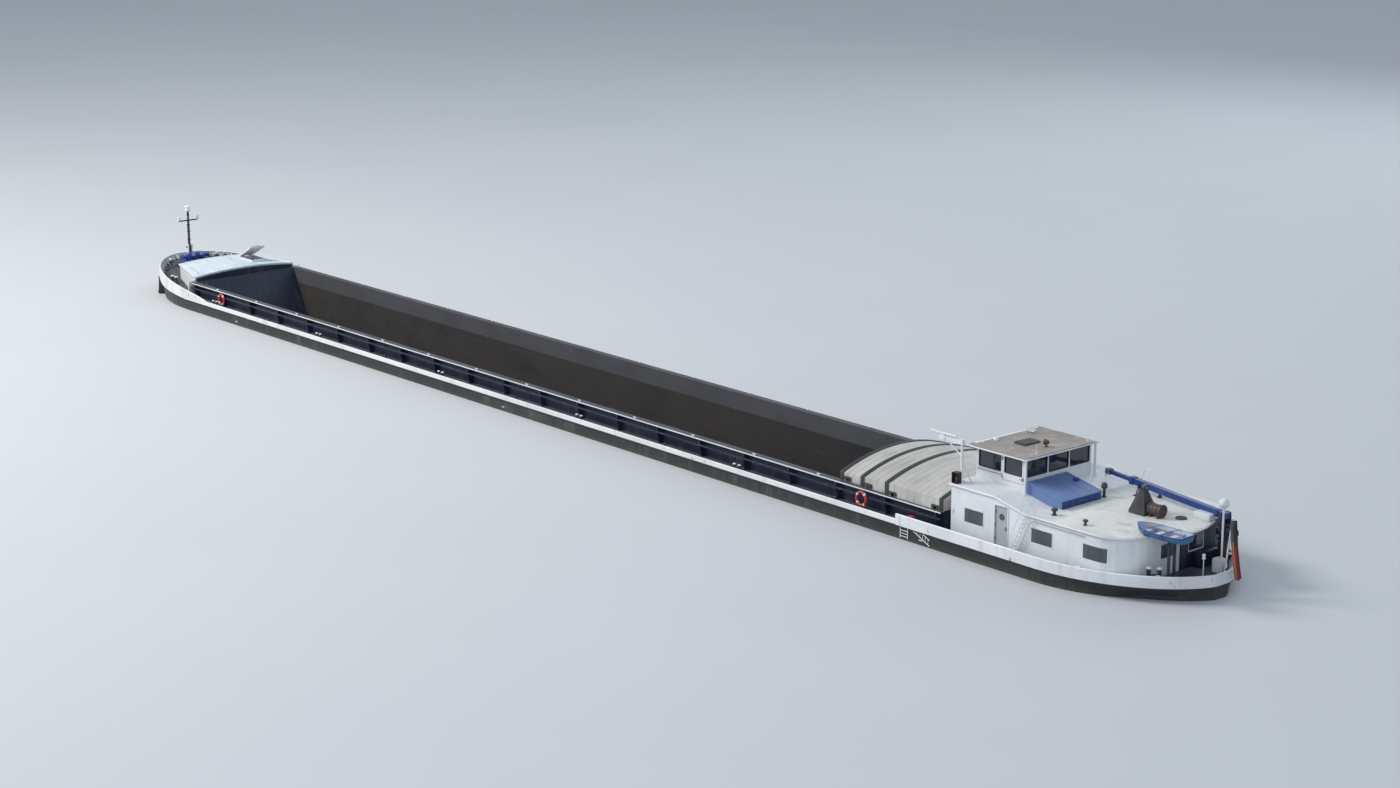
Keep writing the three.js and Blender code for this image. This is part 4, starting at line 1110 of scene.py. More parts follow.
def rounded_aft(piece):
    """Bends the after side windows to the round of the wall."""
    alone(piece)
    bpy.ops.object.mode_set(mode="EDIT")
    for i in range(7):
        bpy.ops.mesh.select_all(action="SELECT")
        bpy.ops.mesh.bisect(plane_co=(-3.782 - 0.011 * i, 0, 0), plane_no=(1, 0, 0))
    free()
    for vert in piece.data.vertices:
        x, y, z = vert.co
        if -3.87 < x < CORNER_X and abs(y) > 0.3:
            turn = (CORNER_X - x) / CORNER_RADIUS
            out = CORNER_RADIUS + abs(y) - HOUSE_HALF
            vert.co = (CORNER_X - out * math.sin(turn), math.copysign(CORNER_Y + out * math.cos(turn), y), z)


def house_windows():
    side_windows = ((-3.105, 0.108), (-3.495, 0.115), (-3.784, 0.122))
    spots = []
    for side in (1, -1):
        for x, width in side_windows:
            spots.append(((x, side * 0.3596, 0.415), 0 if side > 0 else math.pi, (width / 0.1, 1, 1)))
    spots += [((-2.9704, y, 0.462), -math.pi / 2, (1.0, 1, 0.97)) for y in (-0.215, -0.075, 0.075, 0.215)]
    spots += [((-3.9496, y, 0.415), math.pi / 2, (0.9, 1, 1)) for y in (-0.09, 0.09)]
    body, drapes, pane = window_model()
    frames = fitted(several(body, "house_window_frames", spots), "white")

    # The back of each recess is painted dark: painted shade for the room behind the window
    def recess(place, normal):
        return any((place - Vector(spot[0])).length < 0.012 for spot in spots)
    painted_over(frames, FINISH["room"], recess)
    curtains = fitted(several(drapes, "house_window_curtains", spots), "blind")
    panes = fitted(several(pane, "house_window_panes", spots), "glass")
    for piece in (frames, curtains, panes):
        rounded_aft(piece)


def house_doors():
    """Panelled door leaves with a light, a lever and hinges, each in a raised frame with a sill."""
    x0, x1, sill, head = -3.302, -3.228, 0.326, 0.5
    for side, hand, body in ((1, "port", "house_door_p"), (-1, "starboard", "house_door_s")):
        def across(near, far):
            return sorted((side * near, side * far))
        leaf = block(f"door_leaf_{hand}", (x0 + 0.0025, x1 - 0.0025), across(0.3522, 0.3568),
                     (sill + 0.0025, head - 0.0025))
        inset(leaf, lambda place, normal: normal.y * side > 0.9, 0.009, -0.0012)
        fitted(softened(leaf, 0.0008), "door", body=body)
        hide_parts(f"house_door_{hand}")
        light = drum(f"door_light_{hand}", ((x0 + x1) / 2, side * 0.3568, 0.452), 0.0135, 0.003, "y", 28)
        inset(light, lambda place, normal: abs(normal.y) > 0.9, 0.003, -0.0006)
        fitted(light, "steel", body=body)
        painted_over(light, FINISH["glass"], lambda place, normal: abs(normal.y) > 0.9)
        lever = [pipe("lever", [(x0 + 0.011, side * 0.3565, 0.405), (x0 + 0.011, side * 0.3625, 0.405),
                                (x0 + 0.0235, side * 0.3625, 0.4035)], 0.0013),
                 slab("lock", (x0 + 0.007, x0 + 0.015), across(0.3565, 0.3582), (0.396, 0.413), 0.0005)]
        fitted(joined(f"door_lever_{hand}", lever), "steel", body=body)
        rims = []
        for low_x, high_x, low_z, high_z in ((x0 - 0.005, x0, sill - 0.004, head + 0.005),
                                             (x1, x1 + 0.005, sill - 0.004, head + 0.005),
                                             (x0, x1, head, head + 0.005)):
            rims.append(slab("jamb", (low_x, high_x), across(0.3598, 0.3632), (low_z, high_z), 0.0008))
        rims.append(slab("sill", (x0 - 0.008, x1 + 0.008), across(0.3598, 0.3705),
                         (sill - 0.006, sill - 0.001), 0.001))
        fitted(joined(f"door_frame_{hand}", rims), "white")
        hinges = [drum("hinge", (x1 - 0.002, side * 0.3578, z), 0.0018, 0.012, "z", 10)
                  for z in (0.352, 0.412, 0.472)]
        fitted(joined(f"door_hinges_{hand}", hinges), "steel", body=body)


def side_stairs():
    """Steps from the side deck up to the roof, abaft each house door."""
    foot, top = (-3.345, DECK + 0.004), (-3.428, ROOF_LOW + 0.004)
    for side, hand in SIDES:
        parts = []
        for y in (0.3675, 0.391):
            parts.append(pipe("stringer", [(foot[0], side * y, foot[1]), (top[0], side * y, top[1])], 0.0021))
        for i in range(1, 9):
            part = i / 9
            x, z = foot[0] + (top[0] - foot[0]) * part, foot[1] + (top[1] - foot[1]) * part
            low, high = sorted((side * 0.3675, side * 0.391))
            parts.append(slab("tread", (x - 0.007, x + 0.007), (low, high),
                              (z - 0.001, z + 0.001), 0.0005, 1))
        y = side * 0.391
        rail = [(foot[0] + 0.006, y, foot[1]), (foot[0] + 0.006, y, foot[1] + 0.06),
                (top[0] + 0.008, y, top[1] + 0.055), (top[0] - 0.022, y, top[1] + 0.055),
                (top[0] - 0.03, side * 0.37, top[1] + 0.03), (top[0] - 0.03, side * 0.362, top[1] - 0.004)]
        parts.append(pipe("handrail", rail, 0.0017))
        fitted(joined(f"roof_steps_{hand}", parts), "white")


def roof_line(out, lift):
    """The house roof's edge, from the port fore corner round the stern to starboard."""
    corner = CORNER_RADIUS + out
    port = [(-2.962, HOUSE_HALF + out, ROOF_HIGH + lift), (-3.23, HOUSE_HALF + out, ROOF_HIGH + lift),
            (-3.4, HOUSE_HALF + out, ROOF_LOW + lift)]
    for i in range(9):
        turn = math.radians(90 + 90 * i / 8)
        port.append((CORNER_X + corner * math.cos(turn), CORNER_Y + corner * math.sin(turn), ROOF_LOW + lift))
    return port + [(x, -y, z) for x, y, z in reversed(port)]


def roof_edges():
    fitted(pipe("roof_drip_rail", roof_line(0.0075, -0.0055), 0.0033), "white")
    front = pipe("roof_front_rail",
                 [(-2.9635, -0.366, ROOF_HIGH - 0.005), (-2.9635, 0.366, ROOF_HIGH - 0.005)], 0.0033)
    fitted(front, "white")
    grab = pipe("wall_grab_rail_port",
                [(-3.45, 0.3605, 0.478), (-3.45, 0.3665, 0.478), (-3.73, 0.3665, 0.478),
                 (-3.73, 0.3605, 0.478)], 0.0014)
    fitted(mirrored(grab, "wall_grab_rail_starboard"), "steel")
    fitted(grab, "steel")
    for side, hand, tint in ((1, "port", "red_lens"), (-1, "starboard", "green_lens")):
        screen = block(f"sidelight_{hand}", (-3.002, -2.968),
                       sorted((side * 0.328, side * 0.36)), (ROOF_HIGH, 0.588))
        inset(screen, lambda place, normal: normal.y * side > 0.9, 0.003, -0.02)
        softened(screen, 0.001)
        fitted(screen, "black")
        glass = lamp(f"sidelight_glass_{hand}", (-2.985, side * 0.347, ROOF_HIGH + 0.006), 0.0052, 0.018)
        fitted(glass, tint)


def roof_fittings():
    """Vents, ring hatch, chest and overhang, the dome on its pole and the crane's crutch."""
    vent = turned("vent", (0, 0, 0), [(0, 0), (0.012, 0), (0.012, 0.002), (0.007, 0.003), (0.007, 0.018),
                                      (0.0145, 0.02), (0.015, 0.025), (0.01, 0.031), (0, 0.0325)])
    spots = [((-3.46, -0.072, ROOF_LOW), 0, (0.9, 0.9, 2.05)), ((-3.62, -0.25, ROOF_LOW), 0, EVEN),
             ((-3.5, 0.29, ROOF_LOW), 0, EVEN), ((-3.68, 0.3, ROOF_LOW), 0, (0.8, 0.8, 0.8))]
    fitted(several(vent, "roof_vents", spots), "charcoal")
    ring = turned("roof_ring_hatch", (-3.879, -0.075, ROOF_LOW),
                  [(0, 0), (0.025, 0), (0.025, 0.003), (0.0225, 0.0055), (0.0195, 0.0055), (0.018, 0.003),
                   (0.006, 0.003), (0.005, 0.0045), (0, 0.0045)], steps=32)
    fitted(ring, "charcoal")
    locker = slab("roof_chest", (-3.985, -3.9), (-0.17, -0.125), (ROOF_LOW, 0.528), 0.003)
    inset(locker, upper(0.527), 0.003, 0.002)
    fitted(locker, "white")

    # The roof runs on over the after deck, clear of the crane's head
    edge = [(-3.9575, 0.184), (-3.985, 0.165), (-4.015, 0.12), (-4.028, 0.06), (-4.03, 0.0), (-4.022, -0.06),
            (-4.002, -0.12), (-3.984, -0.165), (-3.9575, -0.184)]
    awning = plate("roof_overhang", [(x, y, 0.4925) for x, y in edge], (0, 0, 0.0091))
    fitted(softened(awning, 0.0015), "roof")
    trim = [(x, y, 0.4965) for x, y in edge]
    fitted(pipe("roof_overhang_rail", trim, 0.0033), "white")
    x, y = -4.094, -0.079
    dome = turned("dome", (x, y, 0.598), [(0, 0), (0.012, 0), (0.02, 0.006), (0.023, 0.017), (0.02, 0.029),
                                          (0.012, 0.037), (0.005, 0.0405), (0, 0.041)])
    pole = pipe("pole", [(x, y, DECK), (x, y, 0.6)], 0.0042)
    fitted(joined("dome_antenna", [dome, pole]), "white")

    # The boom rests on the crutch, which is open to starboard, the way it slews
    spot = CRANE_POST + Matrix.Rotation(CRANE_YAW, 3, "Z") @ Vector((0.5, 0, 0))
    crutch = [pipe("leg", [(0, 1.6 * y, ROOF_LOW), (0, 0.8 * y, 0.536)], 0.0026) for y in (-0.02, 0.02)]
    crutch.append(slab("saddle", (-0.006, 0.006), (-0.019, 0.02), (0.5345, 0.5387), 0.001))
    crutch.append(pipe("stop", [(0, 0.0178, 0.537), (0, 0.0178, 0.556)], 0.0022))
    crutch.append(block("foot", (-0.01, 0.01), (-0.04, 0.04), (ROOF_LOW - 0.001, ROOF_LOW + 0.0025)))
    model = joined("boom_crutch_model", crutch)
    fitted(several(model, "boom_crutch", [((spot.x, spot.y, 0), CRANE_YAW, EVEN)]), "navy")


def funnel():
    """The casing with its louvres and tail pipe, and the hose drum in its cradle abaft it."""
    x, y = -3.718, -0.02
    side = [(0.043, ROOF_LOW), (0.042, ROOF_LOW + 0.012), (0.015, ROOF_LOW + 0.096), (0.015, 0.61)]
    casing = block("funnel_casing", (x - 0.043, x + 0.043), (y - 0.043, y + 0.043),
                   (ROOF_LOW, ROOF_LOW + 0.012))
    for (before, low), (after, high) in zip(side[1:], side[2:]):
        chosen(casing, faces=lambda place, normal: normal.z > 0.9 and place.z > low - 0.001)
        bpy.ops.mesh.extrude_region_move(TRANSFORM_OT_translate={"value": (0, 0, high - low)})
        size = after / before
        bpy.ops.transform.resize(value=(size, size, 1), center_override=(x, y, high))
        free()
    inset(casing, upper(0.6), 0.003, -0.008)
    softened(casing, 0.0022)
    fitted(casing, "charcoal")
    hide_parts("funnel")
    louvres = []
    for i in range(6):
        z = ROOF_LOW + 0.022 + 0.0075 * i
        out = 0.042 - 0.027 * (z - ROOF_LOW - 0.012) / 0.084
        for turn in range(4):
            slat = slab("slat", (-0.6 * out, 0.6 * out), (out - 0.003, out + 0.0022),
                        (z - 0.0011, z + 0.0011), 0.0006, 1)
            moved(slat, (x, y, 0), turn * math.pi / 2)
            louvres.append(slat)
    fitted(joined("funnel_louvres", louvres), "charcoal")
    tail = pipe("tail_pipe", [(x, y, 0.595), (x, y, 0.618), (x - 0.012, y, 0.63)], 0.0075)
    fitted(tail, "steel")
    barrel = turned("barrel", (-3.798, -0.015, ROOF_LOW + 0.031), [
        (0, -0.032), (0.0285, -0.032), (0.0285, -0.027), (0.0245, -0.024), (0.0245, -0.012), (0.0258, -0.01),
        (0.0245, -0.008), (0.0245, 0.008), (0.0258, 0.01), (0.0245, 0.012), (0.0245, 0.024), (0.0285, 0.027),
        (0.0285, 0.032), (0, 0.032)], "x", 32)
    cradle = [softened(plate("cradle",
                             [(u, -0.04, ROOF_LOW), (u, 0.01, ROOF_LOW), (u, 0.004, ROOF_LOW + 0.018),
                              (u, -0.034, ROOF_LOW + 0.018)], (0.004, 0, 0)), 0.0008) for u in (-3.82, -3.78)]
    barrel = fitted(joined("hose_drum_barrel", [barrel, *cradle]), "brown")
    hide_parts("hose_drum")


def stair_hood():
    """The hood over the stairs: a cloth-covered blue top painted lighter for sky light, on dark boarded sides
    whose darker blue is painted shade, with a door facing aft.
    """
    x0, x1, y0, y1 = -3.47, -3.267, -0.04, 0.21
    shell = plate("stair_hood_top", [(x0 - 0.004, y0 - 0.004, 0.5342), (x1, y0 - 0.004, 0.5752),
                                     (x1, y0 - 0.004, 0.5792), (x0 - 0.004, y0 - 0.004, 0.5382)],
                  (0, y1 - y0 + 0.008, 0))
    softened(shell, 0.0015)
    fitted(shell, "hood_blue_painted_light")
    ribs = []
    for y in (-0.0405, 0.0225, 0.085, 0.1475, 0.2105):
        ribs.append(pipe("rib", [(x0 - 0.003, y, 0.5385), (x1, y, 0.5795)], 0.0017))
    fitted(joined("stair_hood_ribs", ribs), "hood_blue_painted_light")
    # The boards take the crane's darker blue, which is painted shade on the side that looks aft
    boards = [slab("board", (x0 - 0.0025, x0 + 0.001), (y + 0.001, y + 0.0395), (0.5035, 0.533), 0.0008)
              for y in (-0.04, 0.001, 0.043, 0.085, 0.127, 0.169)]
    fitted(joined("stair_hood_boards", boards), "blue")
    box = slab("hood_lamp_box", (-3.361, -3.339), (-0.024, -0.004), (0.556, 0.575), 0.002)
    inset(box, facing_aft, 0.003, -0.002)
    fitted(box, "windlass")
    knob = pipe("stair_hood_grip",
                [(x0 - 0.0025, 0.07, 0.524), (x0 - 0.008, 0.072, 0.524), (x0 - 0.008, 0.098, 0.524),
                 (x0 - 0.0025, 0.1, 0.524)], 0.0013)
    fitted(knob, "steel")


# Wheelhouse
CABIN_AFT, CABIN_FORE, CABIN_HALF = -3.26, -2.975, 0.212
CABIN_SILL, CABIN_HEAD = 0.596, 0.67


def cabin_window():
    """A dark pane and its rubber about the origin, facing port."""
    wide, high, corner = 0.062, 0.037, 0.006
    line = [(0, -0.0004, -high)]
    for x, z, start in ((wide - corner, corner - high, -90), (wide - corner, high - corner, 0),
                        (corner - wide, high - corner, 90), (corner - wide, corner - high, 180)):
        for i in range(4):
            turn = math.radians(start + 30 * i)
            line.append((x + corner * math.cos(turn), -0.0004, z + corner * math.sin(turn)))
    line.append((0, -0.0004, -high))
    pane = slab("pane", (-wide, wide), (-0.004, -0.003), (-high, high), 0.0003, 1)
    return pipe("rubber", line, 0.0024, 2), pane


PANE_ROW = (-0.136, 0, 0.136)


def wheelhouse_windows():
    middle = (CABIN_SILL + CABIN_HEAD) / 2
    fixed = [((CABIN_FORE, y, middle), -math.pi / 2, EVEN) for y in PANE_ROW]
    fixed += [((CABIN_AFT, y, middle), math.pi / 2, EVEN) for y in PANE_ROW]
    fixed += [((-3.054, side * CABIN_HALF, middle), 0 if side > 0 else math.pi, (1.03, 1, 1))
              for side in (1, -1)]
    rubber, pane = cabin_window()
    fitted(several(rubber, "wheelhouse_rubbers", fixed), "black")
    fitted(several(pane, "wheelhouse_panes", fixed), "tinted")
    for side, hand in SIDES:
        body = f"cabin_door_{hand[0]}"
        spots = [((-3.19, side * CABIN_HALF, middle - 0.002), 0 if side > 0 else math.pi, (0.81, 1, 0.946))]
        rubber, pane = cabin_window()
        fitted(several(rubber, f"cabin_door_rubber_{hand}", spots), "black", body=body)
        fitted(several(pane, f"cabin_door_pane_{hand}", spots), "tinted", body=body)
        y = side * CABIN_HALF
        lever = [pipe("lever",
                      [(-3.245, y, 0.585), (-3.245, y + side * 0.006, 0.585),
                       (-3.232, y + side * 0.006, 0.584)], 0.0013),
                 slab("lock", (-3.249, -3.241), sorted((y, y + side * 0.0016)), (0.578, 0.592), 0.0005)]
        fitted(joined(f"cabin_door_lever_{hand}", lever), "steel", body=body)
        hinges = [drum("hinge", (-3.1265, y + side * 0.0012, z), 0.0018, 0.012, "z", 10)
                  for z in (0.576, 0.655)]
        fitted(joined(f"cabin_door_hinges_{hand}", hinges), "steel")
        rail = [(-3.122, y, 0.585), (-3.122, y + side * 0.007, 0.585),
                (-2.99, y + side * 0.007, 0.585), (-2.99, y, 0.585)]
        fitted(pipe(f"cabin_grab_rail_{hand}", rail, 0.0016), "steel")
        post = [drum("post", (-3.272, side * 0.224, 0.602), 0.0055, 0.148, "z", 18),
                turned("foot", (-3.272, side * 0.224, 0.529),
                       [(0.005, 0), (0.011, 0), (0.011, 0.003), (0.005, 0.004)])]
        fitted(joined(f"cabin_roof_post_{hand}", post), "white")
    wipers = []
    for y in PANE_ROW:
        wipers.append(drum("motor", (CABIN_FORE + 0.004, y - 0.02, 0.6715), 0.0042, 0.009, "x", 14))
        wipers.append(pipe("arm",
                           [(CABIN_FORE + 0.0075, y - 0.02, 0.6715), (CABIN_FORE + 0.007, y + 0.024, 0.628)],
                           0.0011, 2))
        wipers.append(pipe("blade",
                           [(CABIN_FORE + 0.0055, y + 0.012, 0.607), (CABIN_FORE + 0.0055, y + 0.036, 0.649)],
                           0.0013, 2))
    fitted(joined("window_wipers", wipers), "black")


def wheelhouse_roof_gear():
    """The roof's rim, front strip, hatch, searchlight, horns and antennas."""
    x0, x1, half, z = -3.28, -2.94, 0.234, 0.6795
    rim = [(x0, 0, z), (x0, half, z), (x1, half, z), (x1, -half, z), (x0, -half, z), (x0, 0, z)]
    fitted(pipe("wheelhouse_roof_rim", rim, 0.0034), "white")
    strip = slab("roof_front_strip", (-2.963, -2.944), (-0.2, 0.2), (0.686, 0.6885), 0.0008)
    fitted(strip, "white")
    hatch = slab("wheelhouse_hatch", (-3.135, -3.068), (-0.02, 0.08), (0.6862, 0.694), 0.003)
    inset(hatch, upper(0.6935), 0.006, 0.0015)
    fitted(hatch, "charcoal")
    light = [turned("foot", (-3.2, 0.015, 0.6865),
                    [(0, 0), (0.009, 0), (0.009, 0.003), (0.003, 0.004), (0.003, 0.012), (0, 0.012)],
                    steps=18),
             turned("body", (-3.2, 0.015, 0.708),
                    [(0, -0.012), (0.007, -0.01), (0.0115, -0.002), (0.0125, 0.009), (0.0105, 0.01),
                     (0.0105, 0.007), (0, 0.007)], "x", 24),
             pipe("yoke",
                  [(-3.2, 0.001, 0.709), (-3.2, 0.001, 0.698), (-3.2, 0.029, 0.698), (-3.2, 0.029, 0.709)],
                  0.0015)]
    fitted(joined("searchlight", light), "brown")

    def glass(place, normal):
        across = place.yz - Vector((0.015, 0.708))
        return normal.x > 0.9 and place.x > -3.1945 and across.length < 0.009
    painted_over(bpy.context.active_object, FINISH["lamp"], glass)
    horns = []
    for y, length in ((-0.1, 0.034), (-0.122, 0.026)):
        horns.append(turned("horn", (-2.99, y, 0.697),
                            [(0.0015, -length), (0.003, -length), (0.0032, -0.012), (0.0062, -0.004),
                             (0.0105, 0), (0.0098, 0.0005), (0.004, -0.006), (0.0015, -length)], "x", 20))
        horns.append(drum("stand", (-3.0, y, 0.6905), 0.0022, 0.01, "z", 10))
    fitted(joined("air_horns", horns), "white")
    whips = []
    for x, y, top in ((-3.255, -0.19, 0.7395), (-3.255, 0.14, 0.735), (-2.975, 0.17, 0.737)):
        whips.append(pipe("whip", [(x, y, 0.686), (x, y, top)], 0.0009, 2))
        whips.append(turned("base", (x, y, 0.686),
                            [(0, 0), (0.0045, 0), (0.0045, 0.002), (0.002, 0.009), (0, 0.009)], steps=14))
    fitted(joined("whip_antennas", whips), "white")
    mushroom = turned("satellite_puck", (-2.985, 0.1, 0.6865),
                      [(0, 0), (0.0125, 0), (0.0135, 0.006), (0.0105, 0.012), (0.004, 0.015), (0, 0.0152)],
                      steps=22)
    fitted(mushroom, "white")


def wheelhouse_inside():
    """Screens, levers and the wheel on the desk, and the helmsman's chair."""
    parts = []
    for y in (-0.085, -0.04, 0.04, 0.085):
        screen = slab("screen", (-3.022, -3.016), (y - 0.018, y + 0.018), (0.603, 0.628), 0.0012)
        inset(screen, facing_aft, 0.002, -0.001)
        parts.append(screen)
    fitted(joined("desk_screens", parts), "black")
    centre = (-3.052, 0, 0.6)
    wheel = [hoop("rim", centre, 0.017, 0.0017, "x", 28, 8),
             drum("hub", (-3.05, 0, 0.6), 0.004, 0.008, "x", 14), drum("spoke", centre, 0.001, 0.033, "y", 8),
             drum("spoke", centre, 0.001, 0.033, "z", 8),
             drum("shaft", (-3.044, 0, 0.6), 0.0025, 0.014, "x", 10)]
    for y in (-0.06, 0.062):
        wheel.append(pipe("lever", [(-3.028, y, 0.6), (-3.034, y, 0.619)], 0.0013))
        wheel.append(ball("knob", (-3.034, y, 0.62), 0.0032))
    fitted(joined("wheel_and_levers", wheel), "steel")
    stand = turned("chair_stand", (-3.115, 0, ROOF_HIGH),
                   [(0, 0.0003), (0.019, 0.0003), (0.018, 0.003), (0.007, 0.006), (0.0055, 0.036),
                    (0.012, 0.038), (0, 0.0385)], steps=22)
    arms = [pipe("arm", [(-3.14, y, 0.6), (-3.137, y, 0.606), (-3.104, y, 0.606), (-3.1, y, 0.601)], 0.0026)
            for y in (-0.0255, 0.0255)]
    fitted(joined("chair_frame", [stand, *arms]), "charcoal")
    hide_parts("helm_chair")
    for name, x, z in (("seat", (-3.1385, -3.0915), (0.5775, 0.59)),
                       ("back", (-3.1455, -3.135), (0.59, 0.643))):
        cushion = block(f"chair_{name}", x, (-0.0225, 0.0225), z)
        softened(cushion, 0.0042, 4)
        fitted(cushion, "seat")


def radar_gear():
    x, y, z = -2.872, 0.315, 0.724
    arm = [slab("gearbox", (x - 0.021, x + 0.0185), (y - 0.0135, y + 0.0135), (z - 0.021, z + 0.0004), 0.004),
           pipe("stay", [(-2.98, y, 0.655), (x - 0.02, y, z - 0.015)], 0.0028),
           drum("cap", (-2.984, y, 0.7255), 0.0085, 0.004, "z", 20)]
    arm += [pipe("stay", [(-2.984, y, 0.64), (-2.984 - 0.032, y - side * 0.028, ROOF_HIGH)], 0.0024)
            for side in (1, -1)]
    fitted(joined("radar_gearbox", arm), "white")
    bar = slab("bar", (x - 0.08, x + 0.08), (y - 0.0065, y + 0.0065), (z + 0.0065, z + 0.0148), 0.003, 3)
    neck = turned("neck", (x, y, z),
                  [(0, 0.0008), (0.0105, 0.0008), (0.009, 0.004), (0.006, 0.0066), (0, 0.0068)])
    scanner = fitted(joined("scanner_bar", [bar, neck]), "white", body="scanner")
    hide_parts("radar_scanner")


# Crane
def on_column(piece):
    """Sets a piece drawn about the pillar's axis at the crane's heading."""
    piece.data.transform(Matrix.Translation(CRANE_POST) @ Matrix.Rotation(CRANE_YAW, 4, "Z"))
    return piece


def on_boom(piece):
    """Sets a piece drawn along X from the boom's pin on the stowed boom."""
    pin = CRANE_POST + Vector((0, 0, CRANE_PIVOT))
    way = Matrix.Rotation(CRANE_YAW, 4, "Z") @ Matrix.Rotation(-CRANE_STOW, 4, "Y")
    piece.data.transform(Matrix.Translation(pin) @ way)
    return piece


def crane_gear():
    rings = [turned("flange", (0, 0, 0.434),
                    [(0.0215, 0), (0.0295, 0), (0.0295, 0.0078), (0.0215, 0.0078)], steps=36)]
    for i in range(12):
        turn = math.radians(30 * i)
        spot = (0.0255 * math.cos(turn), 0.0255 * math.sin(turn), 0.4325)
        rings.append(drum("bolt", spot, 0.0021, 0.004, "z", 6))
    for z in (0.33, 0.38):
        rings.append(turned("band", (0, 0, z),
                            [(0.0215, -0.002), (0.0232, -0.002), (0.0232, 0.002), (0.0215, 0.002)], steps=32))
    fitted(on_column(joined("pillar_flange", rings)), "navy")

    coils = [(0.0062, -0.012)]
    for i in range(9):
        coils += [(0.0112, -0.0118 + 0.0026 * i), (0.0124, -0.0105 + 0.0026 * i)]
    coils += [(0.0112, 0.0118), (0.0062, 0.012), (0.0062, -0.012)]
    winch = [turned("rope", (-0.052, 0, 0.4715), coils, "y", 24)]
    fitted(on_column(joined("winch_rope", winch)), "steel", body="crane_column")
    sides = []
    for y in (-0.0165, 0.0135):
        shape = [(-0.068, 0.4585), (-0.03, 0.4565), (-0.03, 0.4875), (-0.058, 0.486), (-0.067, 0.479)]
        sides.append(softened(plate("side", [(x, y, z) for x, z in shape], (0, 0.003, 0)), 0.0008))
        sides.append(drum("boss", (-0.052, y + 0.0015, 0.4715), 0.0068, 0.007, "y", 18))
    for y in (-0.0275, 0.0275):
        sides.append(drum("pin_head",
                          (0, y - 0.003 * (1 if y > 0 else -1), CRANE_PIVOT), 0.0085, 0.004, "y", 20))
    sides.append(slab("valve_chest", (-0.012, 0.016), (0.0175, 0.034), (0.455, 0.482), 0.0015))
    for i in range(4):
        x = -0.007 + 0.006 * i
        sides.append(pipe("lever", [(x, 0.0255, 0.481), (x, 0.0285, 0.494)], 0.0009, 2))
        sides.append(ball("knob", (x, 0.0287, 0.495), 0.0018))
    fitted(on_column(joined("crane_winch", sides)), "navy", body="crane_column")

    collars = []
    for x0, x1, out in ((0.028, 0.05, 0.0152), (0.536, 0.5615, 0.0162)):
        collars.append(slab("collar", (x0, x1), (-out, out), (-out, out), 0.0014))
        inset(collars[-1], lambda place, normal: abs(normal.x) > 0.9, out - 0.0098, -0.002)
    for x in (0.14, 0.24, 0.34, 0.44):
        collars.append(slab("clip", (x - 0.0035, x + 0.0035), (-0.0175, -0.0125), (-0.007, 0.008), 0.0006))
    fitted(on_boom(joined("boom_collars", collars)), "blue", body="boom")
    lines = [pipe("line", [(0.012, -0.0152, z), (0.535, -0.0152, z)], 0.0014, 2) for z in (-0.003, 0.0035)]
    fitted(on_boom(joined("boom_oil_pipes", lines)), "steel", body="boom")

    tip = [turned("sheave", (0.7, 0, 0.0),
                  [(0.0035, -0.0115), (0.0135, -0.0115), (0.0135, -0.008), (0.0105, -0.0045),
                   (0.0105, 0.0045), (0.0135, 0.008), (0.0135, 0.0115), (0.0035, 0.0115)], "y", 28)]
    tip.append(slab("swivel", (0.7165, 0.7245), (-0.0045, 0.0045), (-0.013, 0.006), 0.001))
    hook = [(0.7205, 0, -0.012)]
    for i in range(9):
        turn = math.radians(90 - 32 * i)
        hook.append((0.7205 + 0.0058 * math.cos(turn), 0, -0.021 + 0.0058 * math.sin(turn)))
    tip.append(pipe("hook", hook, 0.0017))
    fitted(on_boom(joined("crane_hook", tip)), "steel", body="extension")


# Workboat
BOAT_SPOT, BOAT_TURN = Vector((-4.006, 0.2, 0.507)), math.radians(1.5)


